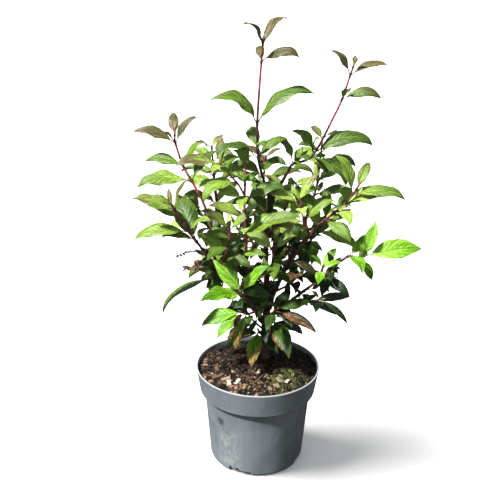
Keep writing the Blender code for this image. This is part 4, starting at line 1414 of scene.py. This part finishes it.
def growSpur(leafGather, twigGather, key, base, axis, turn, paint):
    # a short side twig in the axil of an old leaf, with one pair of small leaves
    p = spurShape
    rng = random.Random(f"{key} spur")
    if rng.random() > p["chance"].get(paint["kind"], p["chanceElse"]):
        return False
    out = roundStem(axis, turn + rng.uniform(-p["turnVary"], p["turnVary"]))
    way = (p["lean"][0] * axis + p["lean"][1] * out).normalized()
    root = base + axis * p["rootAlong"]
    tip = root + way * rng.uniform(*p["length"])
    path = np.array([tuple(root.lerp(tip, k / 4)) for k in range(5)])
    radii = np.linspace(p["footScale"] * p["radius"], p["radius"], 5)
    twigGather.addTube(path, radii, p["sides"], twigIndex["red brown"])
    turned = rng.uniform(*p["leafTurn"])
    size = rng.uniform(*p["leaf"])
    for half in (0, 1):
        length = size * rng.uniform(*p["leafVary"])
        vary = rng.uniform(-p["leafTurnVary"], p["leafTurnVary"])
        around = roundStem(way, turned + 180 * half + vary)
        spread, arch = rng.uniform(*p["leafSpread"]), rng.uniform(*p["leafArch"])
        roll = rng.uniform(-p["leafRoll"], p["leafRoll"])
        curve = leafCurve(tip - way * p["leafInto"], way, around, length, spread, arch, roll)
        growLeaf(leafGather, curve, length, f"{key} spur {half}", paint)
    return True


def growAxil(leafGather, twigGather, budGather, key, base, axis, turn, left, paint):
    # above each leaf stands a bud or, where the stem is old enough, often a spur
    if left > spurShape["old"]:
        level = paint["level"] + spurShape["lift"].get(paint["kind"], spurShape["liftElse"])
        small = dict(paint, level=level, brown=0.0, width=None, turn=0.0, shaded=0.0)
        if growSpur(leafGather, twigGather, key, base, axis, turn, small):
            return True
    out = roundStem(axis, turn)
    place = base + axis * budShape["sideAlong"] + out * budShape["sideOut"]
    way = (axis + budShape["sideLean"] * out).normalized()
    growBud(budGather, place, way, budShape["sideLength"], "scale brown")
    return False


def growDryStalks(twigGather, budGather, paths):
    for number, (name, distance, legs, scales, size) in enumerate(dryStalks):
        rng = random.Random(f"dry stalk {number}")
        start, _ = along(paths[name], distance)
        path, _ = evenPath(smoothPath(start, legs, twigShape["pathSteps"]), twigShape["spacing"])
        radii = np.linspace(*dryShape["radii"], len(path))
        twigGather.addTube(path, radii, dryShape["sides"], twigIndex["dry"])
        for _ in range(scales):
            at = int(len(path) * rng.uniform(dryShape["scalesFrom"], 1.0))
            way = Vector([rng.gauss(0, 1) for _ in range(3)]).normalized()
            tone = "scale black" if rng.random() < dryShape["blackShare"] else "scale dry"
            growBud(budGather, path[at], way, size * rng.uniform(*dryShape["scaleVary"]), tone)


def growLimbSpurs(leafGather, twigGather, paths):
    # small leaves on short spurs, all along the limbs where they stand inside the crown
    low, high = spurShape["limbHeights"]
    grown = 0
    for name, path in paths.items():
        rng = random.Random(f"{name} spurs")
        distance, number = spurShape["limbFrom"], 0
        while distance < pathLength(path) - spurShape["limbFrom"] / 3:
            place, axis = along(path, distance)
            distance += spurShape["limbStep"] * rng.uniform(*spurShape["limbStepVary"])
            turn = rng.uniform(0, 360)
            # the spurs' leaves take the shade kind, which is painted shade
            paint = leafPaint("limb spur", name, number, 0, 1.0)
            number += 1
            if low < place.z < high:
                base = place + roundStem(axis, turn) * limbs[name]["radii"][1]
                grown += growSpur(leafGather, twigGather, f"{name} {number} 0", base, axis, turn, paint)
    print(f"limb spurs: {grown}")


# the shoots whose leaves each joined piece holds. leaves_inner holds those of the limbs' spurs,
# and leaves_back those of every shoot that isn't named here.
leafPieces = {
    "leaves_top": (
        "leader_tip", "right_upper_shoot", "left_upper_shoot", "left_side_shoot", "middle_left_shoot",
    ),
    "leaves_middle": (
        "inner_left_shoot", "big_leaf_shoot", "right_shoot", "right_side_shoot", "centre_shoot",
        "centre_left_shoot", "centre_right_shoot", "low_left_shoot", "low_inner_shoot", "low_outer_shoot",
    ),
    "leaves_low": (
        "lower_right_shoot", "lower_right_side_shoot", "front_shoot", "front_low_shoot",
        "front_right_shoot", "foot_shoot", "foot_right_shoot", "low_right_shoot", "low_centre_shoot",
    ),
    "leaves_inner": (),
    "leaves_back": ("rest",),
}


def growShoots(paths):
    shootRows = {**shoots, **backRows(paths)}
    leafGathers = {name: Gather() for name in leafPieces}
    twigGather, budGather = Gather(), Gather()
    counted = dict(leaves=0, spurs=0)
    for name, shoot in shootRows.items():
        piece = next(piece for piece, owned in leafPieces.items() if name in owned or "rest" in owned)
        leafGather = leafGathers[piece]
        tree = modelTree(name)
        young = leafKinds.get(name, "mid") in twigShape["youngKinds"]
        for stem, start, legs, rows, isTwig in stemsOf(name, shoot, paths):
            path = smoothPath(start, legs, growth["pathSteps"])
            growStem(twigGather, start, legs, rows, isTwig, young)
            end, way = along(path, pathLength(path))
            tone = "scale red" if young else "scale green"
            growBud(budGather, end - way * budShape["tipInto"], way, budShape["tipLength"], tone)
            for index, side, left, tries in leavesOf(stem, path, rows, shoot["arch"]):
                room = next((one for one in tries if inModel(tree, one[0])), None)
                if room is None:
                    continue
                key = f"{stem} {index} {side}"
                paint = leafPaint(name, stem, index, side, left)
                growLeaf(leafGather, *room, key, paint)
                counted["leaves"] += 1
                base, axis = along(path, rows[index][0])
                turn = rows[index][3] + 180 * side
                place = (key, base, axis, turn, left)
                counted["spurs"] += growAxil(leafGather, twigGather, budGather, *place, paint)
    growLimbSpurs(leafGathers["leaves_inner"], twigGather, paths)
    growDryStalks(twigGather, budGather, paths)
    print(f"shoots: {len(shootRows)}, leaves: {counted['leaves']}, spurs: {counted['spurs']}")
    return leafGathers, twigGather, budGather


# Bark on the leader and the boughs: rings of points with furrows, nodes, leaf scars and raised pores

barkShape = {
    "pathSteps": 16,
    "spacing": 0.0011,
    "sides": 20,
    "tipRadius": 0.0016,
    "tipReach": 0.014,
    "flare": 0.5,
    "flareHeight": 0.009,
    "collar": 0.35,
    "collarReach": 0.006,
    "nodeFrom": 0.016,
    "nodeStep": 0.024,
    "nodeVary": (0.8, 1.3),
    "nodeSwelling": 0.16,
    "nodeReach": 0.0018,
    "scar": 0.00045,
    "scarNarrow": 10,
    "furrow": 0.00022,
    "furrowNoise": (2.6, 90),
    "pores": 0.00018,
    "poreNoise": (4, 420),
    "poreFrom": 0.28,
    "poreRise": 3,
    "fullRadius": 0.0035,
    "reliefShares": (0.35, 1.1),
    "sink": 0.004,
}
barkColours = {
    "old": (0.038, 0.021, 0.015),
    "young": (0.143, 0.038, 0.024),
    "flake": (0.150, 0.109, 0.079),
    "cracks": (0.013, 0.007, 0.005),
    "youngFrom": 0.27,
    "youngTo": 0.40,
    "youngAmount": 0.9,
    "streaks": (("flake", (900, 130, 0.54, 0.68), 0.7), ("cracks", (1300, 110, 0.55, 0.66), 0.8)),
    "grain": (1400.0, 1100.0, 0.3, 0.0003, 0.5, 0.85),
}
woodFinish = {
    "grain": (1600.0, 1500.0, 0.35, 0.00012),
    "chips": (0.75, 0.98),
    "twigs": (0.35, 0.6),
    "buds": (0.4, 0.6),
}


def limbRadii(limb, at):
    # tapered along the limb, wider at its foot, and drawn in to a twig's radius at its end
    b = barkShape
    low, high = limb["radii"]
    radii = low + (high - low) * at / at[-1]
    ending = np.clip((at - at[-1] + b["tipReach"]) / b["tipReach"], 0, 1)
    radii = radii + (b["tipRadius"] - radii) * ending**1.5
    if limb["parent"]:
        beyond = (at - limbs[limb["parent"]]["radii"][0]) / b["collarReach"]
        return radii * (1 + b["collar"] * np.exp(-(beyond.clip(0) ** 2)))
    return radii * (1 + b["flare"] * np.clip(1 - at / b["flareHeight"], 0, 1) ** 2)


def growLimb(name, paths, material):
    b = barkShape
    limb = limbs[name]
    path, at = evenPath(smoothPath(paths[name][0], limb["legs"], b["pathSteps"]), b["spacing"])
    radii = limbRadii(limb, at)
    rng = random.Random(f"{name} nodes")
    nodes, place = [], b["nodeFrom"]
    while place < at[-1]:
        nodes.append(place)
        place += b["nodeStep"] * rng.uniform(*b["nodeVary"])
    turn = 2 * np.pi * np.arange(b["sides"]) / b["sides"]
    relief = np.zeros((len(at), b["sides"]))
    for number, node in enumerate(nodes):
        near = np.exp(-(((at - node) / b["nodeReach"]) ** 2))
        radii = radii * (1 + b["nodeSwelling"] * near)
        scar = np.abs(np.cos(turn - math.pi / 2 * number)) ** b["scarNarrow"]
        relief += b["scar"] * near[:, None] * scar[None, :]
    (girth, rise), (poreGirth, poreRise) = b["furrowNoise"], b["poreNoise"]
    for i, distance in enumerate(at):
        for k, angle in enumerate(turn):
            c, s = math.cos(angle), math.sin(angle)
            furrow = noise.noise(Vector((girth * c, girth * s, distance * rise)))
            pore = noise.noise(Vector((poreGirth * c, poreGirth * s, 7 + distance * poreRise)))
            pore = max(pore - b["poreFrom"], 0)
            relief[i, k] += b["furrow"] * furrow + b["pores"] * b["poreRise"] * pore
    relief *= (radii / b["fullRadius"]).clip(*b["reliefShares"])[:, None]
    points, faces, _ = tubeShell(path, radii, b["sides"], relief)
    points[:, 2] = np.maximum(points[:, 2], soilTop - b["sink"])
    gather = Gather()
    gather.add(points, faces, 0)
    obj = gather.build(f"bark_{name}", [material], "bark")
    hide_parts(name)


def barkMaterial():
    c = barkColours
    material, shader = plainMaterial("bark", c["old"], 0.7)
    tree = material.node_tree
    place = addNode(tree, "ShaderNodeTexCoord")
    parts = addNode(tree, "ShaderNodeSeparateXYZ")
    height = rangeNode(tree, c["youngFrom"], c["youngTo"])
    joinNodes(
        tree,
        (place, "Object", parts, "Vector"),
        (parts, "Z", height, "Value"),
    )
    colour = layColour(tree, c["old"], c["young"], height, c["youngAmount"])
    colour = layStreaks(tree, colour, c, c["streaks"])
    tree.links.new(colour, shader.inputs["Base Color"])
    addGrain(material, shader, *c["grain"])
    return material


def woodMaterials(tones, low, high, specular=0.5):
    made = []
    for name, colour in tones.items():
        material, shader = plainMaterial(name, colour, 0.5)
        shader.inputs["Specular IOR Level"].default_value = specular
        addGrain(material, shader, *woodFinish["grain"], low, high)
        made.append(material)
    return made


# Compost: a lumpy surface with chips of bark, tufts of moss and a straw on it

compost = {
    "radius": 0.0915,
    "depth": 0.012,
    "depthRadius": 0.087,
    "rings": 70,
    "segments": 200,
    "lump": 0.0017,
    "lumpNoise": (70, 3.1),
    "crumb": 0.0012,
    "crumbNoise": (260, 8.4),
    "drop": 0.0012,
    "mound": 0.0030,
    "moundReach": 0.018,
    "streaks": (("chip brown", (420, 420, 0.50, 0.66), 0.5), ("chip red", (700, 700, 0.62, 0.72), 0.5)),
    "grain": (900.0, 700.0, 0.5, 0.0008, 0.8, 0.98),
    "chips": 3600,
    "chipInset": 0.0025,
    "chipSkew": 2.2,
    "chipRagged": 0.28,
    "chipNarrow": (0.45, 0.95),
    "chipRise": (-0.15, 0.6),
    "chipLength": (0.0024, 0.0105),
    "chipWidth": (0.35, 0.8),
    "chipThick": (0.16, 0.42),
    "tilt": 38,
    "seed": 23,
    "specular": 0.2,
    "mossPlaces": [(0.053, -0.010), (0.060, -0.028), (0.035, -0.055), (-0.030, 0.060)],
    "mossReach": 0.010,
    "mossBlades": 240,
    "mossInset": 0.003,
    "mossRise": 0.0006,
    "mossLean": 0.5,
    "mossLength": (0.0012, 0.0030),
    "mossRadii": (0.0004, 0.00035, 0.00025, 0.0001),
    "mossBright": 0.35,
    "greenPlace": (0.046, -0.034),
    "greenReach": 0.030,
    "greenShare": 0.8,
    "greenTones": ("chip olive", "chip black", "moss dark", "chip grey"),
    "greenOdds": (0.3, 0.35, 0.2, 0.15),
    # painted light and shade: how chips are drawn paler towards the lit front and left, and darker behind
    # and to the right
    "paintedLightWay": (0.55, 0.8),
    "paintedLightRate": 5.5,
    "paintedLightLeast": 0.05,
    "paleDraw": (0.55, 0.65),
    "paleMost": 0.006,
    "straw": ((-0.0237, -0.0649), (0.0146, -0.0231)),
    "strawSteps": 22,
    "strawSway": (0.0016, 0.0020, 0.0008),
    "strawWaves": (5, 4, 9),
    "strawRise": 0.0030,
    "strawRadii": (0.0008, 0.0004),
    "showingRagged": 0.2,
    "showingShares": (1, 0.45, 0.25),
    "showingTilt": 0.3,
    "showingRise": 0.0024,
    "showing": [
        (0.0024, -0.0152, 0.010, "chip pale"), (-0.0303, -0.0459, 0.012, "chip pale"),
        (-0.0420, -0.0522, 0.011, "chip pale"), (-0.0355, -0.0600, 0.012, "chip pink"),
        (-0.0480, -0.0390, 0.014, "chip pink"), (-0.0200, -0.0560, 0.013, "chip tan"),
        (-0.0120, -0.0380, 0.012, "chip red"), (-0.0560, -0.0300, 0.012, "chip tan"),
        (0.0450, -0.0420, 0.009, "chip pale"), (0.0500, -0.0120, 0.008, "moss bright"),
        (0.0300, -0.0560, 0.009, "chip grey"), (-0.0630, -0.0080, 0.012, "chip tan"),
    ],
}
chipTones = {
    "chip black": (0.005, 0.004, 0.003),
    "chip dark": (0.014, 0.010, 0.007),
    "chip brown": (0.034, 0.020, 0.013),
    "chip red": (0.066, 0.033, 0.020),
    "chip tan": (0.128, 0.078, 0.048),
    "chip pink": (0.260, 0.174, 0.122),
    "chip pale": (0.480, 0.420, 0.330),
    "chip olive": (0.060, 0.056, 0.018),
    "chip grey": (0.170, 0.165, 0.085),
    "moss dark": (0.026, 0.034, 0.008),
    "moss bright": (0.150, 0.190, 0.040),
    "straw": (0.200, 0.140, 0.060),
}
chipShares = {
    "chip black": 0.36,
    "chip dark": 0.55,
    "chip brown": 0.70,
    "chip red": 0.83,
    "chip tan": 0.96,
    "chip pink": 1.08,
}
chipIndex = {name: number for number, name in enumerate(chipTones)}


def soilHeight(x, y):
    (wideScale, wideSlice), (fineScale, fineSlice) = compost["lumpNoise"], compost["crumbNoise"]
    wide = noise.noise(Vector((x * wideScale, y * wideScale, wideSlice)))
    fine = noise.noise(Vector((x * fineScale, y * fineScale, fineSlice)))
    away = math.hypot(x - growth["footPlace"][0], y - growth["footPlace"][1])
    mound = compost["mound"] * math.exp(-((away / compost["moundReach"]) ** 2))
    return soilTop - compost["drop"] + compost["lump"] * wide + compost["crumb"] * fine + mound


def layCompost():
    rings, segments = compost["rings"], compost["segments"]
    turns = [2 * math.pi * k / segments for k in range(segments)]
    points = [(0.0, 0.0, soilHeight(0, 0))]
    for ring in range(1, rings + 1):
        radius = compost["radius"] * ring / rings
        for a in turns:
            x, y = radius * math.cos(a), radius * math.sin(a)
            points.append((x, y, soilHeight(x, y)))
    radius, depth = compost["depthRadius"], soilTop - compost["depth"]
    points += [(radius * math.cos(a), radius * math.sin(a), depth) for a in turns]
    points.append((0.0, 0.0, depth))
    walls = bandFaces(rings, segments, 1)[:, [0, 3, 2, 1]]
    under = fanFaces(len(points) - 1, segments, 1 + rings * segments)[:, [0, 2, 1]]
    gather = Gather()
    gather.add(np.array(points), [walls, fanFaces(0, segments, 1), under], 0)
    bed = gather.build("compost_bed", [compostMaterial()], "compost")
    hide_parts("compost")


def compostMaterial():
    material, shader = plainMaterial("compost bed", chipTones["chip dark"], 0.9)
    tree = material.node_tree
    colour = layStreaks(tree, chipTones["chip black"], chipTones, compost["streaks"])
    tree.links.new(colour, shader.inputs["Base Color"])
    addGrain(material, shader, *compost["grain"])
    return material


def scatterChips():
    p = compost
    rng = np.random.default_rng(p["seed"])
    count = p["chips"]
    corners = np.array([(x, y, z) for z in (-1, 1) for y in (-1, 1) for x in (-1, 1)], float) / 2
    sides = np.array([(0, 2, 3, 1), (4, 5, 7, 6), (0, 1, 5, 4), (2, 6, 7, 3), (0, 4, 6, 2), (1, 3, 7, 5)])
    radius = (p["radius"] - p["chipInset"]) * np.sqrt(rng.uniform(0, 1, count))
    angle = rng.uniform(0, 2 * np.pi, count)
    length = p["chipLength"][0] + np.ptp(p["chipLength"]) * rng.uniform(0, 1, count) ** p["chipSkew"]
    breadth = length * rng.uniform(*p["chipWidth"], count)
    sizes = np.stack([length, breadth, length * rng.uniform(*p["chipThick"], count)], -1)
    places = [(r * math.cos(a), r * math.sin(a)) for r, a in zip(radius, angle)]
    gather = Gather()
    for n, (x, y) in enumerate(places):
        shape = corners * (1 + rng.uniform(-p["chipRagged"], p["chipRagged"], (8, 3)))
        shape[4:, :2] *= rng.uniform(*p["chipNarrow"])
        turn = Matrix.Rotation(rng.uniform(0, 2 * math.pi), 3, "Z")
        turn = turn @ Matrix.Rotation(math.radians(rng.normal(0, p["tilt"] / 2)), 3, "X")
        turn = turn @ Matrix.Rotation(math.radians(rng.normal(0, p["tilt"] / 2)), 3, "Y")
        place = (x, y, soilHeight(x, y) + sizes[n, 2] * rng.uniform(*p["chipRise"]))
        points = (shape * sizes[n]) @ np.array(turn).T + place
        gather.add(points, [sides], chipTone(rng, x, y, length[n]))
    for x, y, size, tone in p["showing"]:
        ragged = 1 + rng.uniform(-p["showingRagged"], p["showingRagged"], (8, 3))
        shape = corners * ragged * [size * share for share in p["showingShares"]]
        turn = Matrix.Rotation(rng.uniform(0, math.pi), 3, "Z")
        turn = turn @ Matrix.Rotation(rng.uniform(-p["showingTilt"], p["showingTilt"]), 3, "Y")
        points = shape @ np.array(turn).T + (x, y, soilHeight(x, y) + p["showingRise"])
        gather.add(points, [sides], chipIndex[tone])
    scatterMoss(gather, rng)
    layStraw(gather)
    dull = woodMaterials(chipTones, *woodFinish["chips"], p["specular"])
    gather.build("compost_chips", dull, "compost", smooth=False)


def chipTone(rng, x, y, length):
    # chips vary in tone at random; as painted light they are drawn paler to the front and left, towards the
    # light, and darker elsewhere as painted shade; greened ones lie to the front and right
    p = compost
    right, back = p["paintedLightWay"]
    front = min(max(0.5 - p["paintedLightRate"] * (right * x + back * y), p["paintedLightLeast"]), 1.0)
    away = math.hypot(x - p["greenPlace"][0], y - p["greenPlace"][1])
    if rng.uniform(0, 1) < p["greenShare"] * math.exp(-((away / p["greenReach"]) ** 2)):
        return chipIndex[p["greenTones"][rng.choice(4, p=p["greenOdds"])]]
    base, gain = p["paleDraw"]
    draw = rng.uniform(0, 1) * (base + gain * front)
    name = next((name for name, most in chipShares.items() if draw < most), "chip pale")
    return chipIndex["chip tan" if name == "chip pale" and length > p["paleMost"] else name]


def scatterMoss(gather, rng):
    # tufts of short blades
    p = compost
    steps = np.linspace(0, 1, len(p["mossRadii"]))[:, None]
    for x, y in p["mossPlaces"]:
        for _ in range(p["mossBlades"]):
            dx, dy = rng.normal(0, p["mossReach"] / 2, 2)
            if math.hypot(x + dx, y + dy) > p["radius"] - p["mossInset"]:
                continue
            base = np.array((x + dx, y + dy, soilHeight(x + dx, y + dy) + p["mossRise"]))
            lean = np.array((rng.normal(0, p["mossLean"]), rng.normal(0, p["mossLean"]), 1.0))
            path = base + steps * lean * rng.uniform(*p["mossLength"])
            tone = "moss bright" if rng.uniform() < p["mossBright"] else "moss dark"
            gather.addTube(path, p["mossRadii"], 4, chipIndex[tone])


def layStraw(gather):
    # one stalk of straw, lying on the chips
    (ax, ay), (bx, by) = compost["straw"]
    swayX, swayY, swayZ = compost["strawSway"]
    waveX, waveY, waveZ = compost["strawWaves"]
    shares = np.linspace(0, 1, compost["strawSteps"])
    path = []
    for share in shares:
        x = ax + (bx - ax) * share + swayX * math.sin(waveX * share)
        y = ay + (by - ay) * share - swayY * math.sin(waveY * share)
        path.append((x, y, soilHeight(x, y) + compost["strawRise"] + swayZ * math.sin(waveZ * share)))
    thick, taper = compost["strawRadii"]
    gather.addTube(np.array(path), thick - taper * shares, 8, chipIndex["straw"])


# Pot: turned from one profile, with a rolled lip, a deep collar, and notches and slots in its foot

potShape = {
    "segments": 240,
    "collarHeight": 0.0385,
    "collarFootRadius": 0.0891,
    "neckRadius": 0.0816,
    "heelRadius": 0.0729,
    "heelRound": 0.0045,
    "wall": 0.0018,
    "floor": 0.0045,
    "lipRound": 0.0012,
    "collarRound": 0.0014,
    "collarShares": (0.3, 0.6, 0.9),
    "neckRound": 0.0022,
    "neckTurns": (0.5, 1.0, 1.4),
    "wallShares": (0.25, 0.5, 0.75, 1.0),
    "notchStep": 0.0004,
    "arcSteps": 8,
    "notches": 4,
    "notchWidth": 0.037,
    "notchHeight": 0.0066,
    "notchRadius": 0.058,
    "notchTurn": 250.5,
    "slotTurns": (-123.5, -112.0),
    "slotHalf": 2.3,
    "slotHeight": 0.0095,
    "waver": 0.00022,
    "waverTurn": 0.6,
    "sharpFrom": 40,
}
potColours = {
    "plastic": (0.146, 0.167, 0.184),
    "cloudy": (0.106, 0.124, 0.138),
    "dust": (0.240, 0.256, 0.263),
    "scuff": (0.295, 0.318, 0.326),
    # painted highlight: a paler colour on the top of the rim
    "lip": (0.340, 0.360, 0.365),
    "lipHighlightDepth": 0.0022,
    "specular": 0.22,
    "scuffTurn": -123.0,
    "scuffSpread": (19.0, 4.0),
    "scuffHeights": (0.085, 0.060),
    "scuffStreaks": (170, 90, 0.36, 0.66),
    "scuffAmount": 0.65,
    "dirt": (0.030, 0.020, 0.012),
    "dirtPlace": (-0.0536, -0.0573, 0.0864),
    "dirtReach": 0.0095,
    "dirtFull": 0.3,
    "dirtStreaks": (360, 260, 0.38, 0.47),
    "dirtAmount": 0.9,
    "streaks": (("cloudy", (24, 16, 0.42, 0.66), 0.8), ("dust", (150, 14, 0.56, 0.78), 0.35)),
    "grain": (260.0, 1200.0, 0.1, 0.00009, 0.40, 0.58),
}


def arc(centreR, centreZ, radius, start, end):
    steps = potShape["arcSteps"]
    turns = [math.radians(start + (end - start) * i / steps) for i in range(steps + 1)]
    return [(centreR + radius * math.cos(a), centreZ + radius * math.sin(a)) for a in turns]


def potProfile():
    p = potShape
    rim, height = potHigh[0], potHigh[2]
    collarFoot = height - p["collarHeight"]
    slope = (rim - p["collarFootRadius"]) / p["collarHeight"]
    profile = [(0.0, 0.0), (p["notchRadius"] - p["notchStep"], 0.0), (p["notchRadius"], 0.0)]
    profile += arc(p["heelRadius"] - p["heelRound"], p["heelRound"], p["heelRound"], -90, 0)
    low = (p["heelRadius"], p["heelRound"])
    bend = p["neckRound"]
    for share in p["wallShares"]:
        span = share * (collarFoot - bend - low[1])
        profile.append((low[0] + (p["neckRadius"] - low[0]) * share, low[1] + span))
    for a in p["neckTurns"]:
        out, up = bend - bend * math.cos(a), bend * math.sin(a)
        profile.append((p["neckRadius"] + out, collarFoot - bend + up))
    small = p["collarRound"]
    profile += arc(p["collarFootRadius"] - small, collarFoot + small, small, -90, 0)
    for share in p["collarShares"]:
        rise = share * p["collarHeight"]
        profile.append((p["collarFootRadius"] + slope * rise, collarFoot + rise))
    bead = p["lipRound"]
    profile += arc(rim - bead, height - bead, bead, 0, 180)
    profile += [
        (p["collarFootRadius"] - p["wall"], collarFoot + p["wall"]),
        (p["neckRadius"] - p["wall"], collarFoot + p["wall"]),
        (p["heelRadius"] - p["wall"], p["floor"]),
        (0.0, p["floor"]),
    ]
    return profile


def makePot():
    p = potShape
    profile = potProfile()
    segments = p["segments"]
    turn = 2 * np.pi * np.arange(segments) / segments
    notches = p["notchTurn"] + 360 / p["notches"] * np.arange(p["notches"])
    fromNotch, fromSlot = (
        np.abs((np.degrees(turn)[:, None] - np.array(places) + 180) % 360 - 180).min(axis=1)
        for places in (notches, p["slotTurns"])
    )
    roof = np.where(fromSlot < p["slotHalf"], p["slotHeight"], p["notchHeight"])
    rings = []
    for radius, height in profile[1:-1]:
        waver = p["waver"] * height / potHigh[2]
        reach = radius + waver * np.sin(2 * turn + p["waverTurn"]) - waver
        z = np.full(segments, height)
        if radius >= p["notchRadius"]:
            inNotch = reach * np.sin(np.radians(np.minimum(fromNotch, 90))) < p["notchWidth"] / 2
            z = np.where(inNotch, np.maximum(z, roof), z)
        rings.append(np.stack([reach * np.cos(turn), reach * np.sin(turn), z], -1))
    points = np.concatenate(rings + [np.array([(0, 0, 0), (0, 0, profile[-1][1])])])
    walls = bandFaces(len(rings) - 1, segments, 0)
    under = fanFaces(len(points) - 2, segments, 0)[:, [0, 2, 1]]
    inside = fanFaces(len(points) - 1, segments, (len(rings) - 1) * segments)
    gather = Gather()
    gather.add(points, [walls, under, inside], 0)
    obj = gather.build("pot_shell", [potMaterial()], "pot")
    obj.data.set_sharp_from_angle(angle=math.radians(p["sharpFrom"]))
    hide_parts("pot")


def scuffNode(tree, place, parts):
    # the rubbed patch on one side of the wall, fading out half-way up
    c = potColours
    level = addNode(tree, "ShaderNodeVectorMath", operation="MULTIPLY")
    level.inputs[1].default_value = (1, 1, 0)
    outward = addNode(tree, "ShaderNodeVectorMath", operation="NORMALIZE")
    facing = addNode(tree, "ShaderNodeVectorMath", operation="DOT_PRODUCT")
    facing.inputs[1].default_value = direction(c["scuffTurn"], 0)
    far, close = (math.cos(math.radians(spread)) for spread in c["scuffSpread"])
    band = rangeNode(tree, far, close)
    lower = rangeNode(tree, *c["scuffHeights"])
    rubbed = addNode(tree, "ShaderNodeMath", operation="MULTIPLY")
    patches = addNode(tree, "ShaderNodeMath", operation="MULTIPLY")
    joinNodes(
        tree,
        (place, "Object", level, 0),
        (level, "Vector", outward, 0),
        (outward, "Vector", facing, 0),
        (facing, "Value", band, "Value"),
        (parts, "Z", lower, "Value"),
        (band, "Result", rubbed, 0),
        (lower, "Result", rubbed, 1),
        (rubbed, 0, patches, 0),
        (streakNode(tree, *c["scuffStreaks"]), "Mask", patches, 1),
    )
    return patches


def dirtNode(tree, place):
    # a smear of compost half-way up the wall
    c = potColours
    away = addNode(tree, "ShaderNodeVectorMath", operation="DISTANCE")
    away.inputs[1].default_value = c["dirtPlace"]
    near = rangeNode(tree, c["dirtReach"], c["dirtFull"] * c["dirtReach"])
    patch = addNode(tree, "ShaderNodeMath", operation="MULTIPLY")
    joinNodes(
        tree,
        (place, "Object", away, 0),
        (away, "Value", near, "Value"),
        (near, "Result", patch, 0),
        (streakNode(tree, *c["dirtStreaks"]), "Mask", patch, 1),
    )
    return patch


def potMaterial():
    c = potColours
    material, shader = plainMaterial("pot plastic", c["plastic"], 0.5)
    shader.inputs["Specular IOR Level"].default_value = c["specular"]
    tree = material.node_tree
    place = addNode(tree, "ShaderNodeTexCoord")
    parts = addNode(tree, "ShaderNodeSeparateXYZ")
    # painted highlight: a paler band round the top of the lip
    lip = rangeNode(tree, potHigh[2] - c["lipHighlightDepth"], potHigh[2])
    joinNodes(tree, (place, "Object", parts, "Vector"), (parts, "Z", lip, "Value"))
    colour = layStreaks(tree, c["plastic"], c, c["streaks"])
    colour = layColour(tree, colour, c["scuff"], scuffNode(tree, place, parts), c["scuffAmount"])
    colour = layColour(tree, colour, c["lip"], lip, 1.0)
    colour = layColour(tree, colour, c["dirt"], dirtNode(tree, place), c["dirtAmount"])
    tree.links.new(colour, shader.inputs["Base Color"])
    addGrain(material, shader, *c["grain"])
    return material


groups = {"grain": grainGroup(), "streaks": streakGroup()}
addCamera()
addStudio()
print("camera and studio made")
makePot()
layCompost()
scatterChips()
print("pot and compost made")
paths = limbPaths()
bark = barkMaterial()
for limbName in limbs:
    growLimb(limbName, paths, bark)
print("limbs grown")

leafGathers, twigGather, budGather = growShoots(paths)
materials = leafMaterials()
for pieceName, gather in leafGathers.items():
    piece = gather.build(pieceName, materials, "foliage")
    owned = leafPieces[pieceName]
    if "rest" in owned:
        owned = [name for name in frame["nodes"] if name.startswith("back_") and "_shoot_" in name]
    if owned:
        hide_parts(*owned)
twigGather.build("twigs", woodMaterials(twigTones, *woodFinish["twigs"]), "bark")
budGather.build("buds", woodMaterials(budTones, *woodFinish["buds"]), "foliage")
print("leaves, twigs and buds joined")
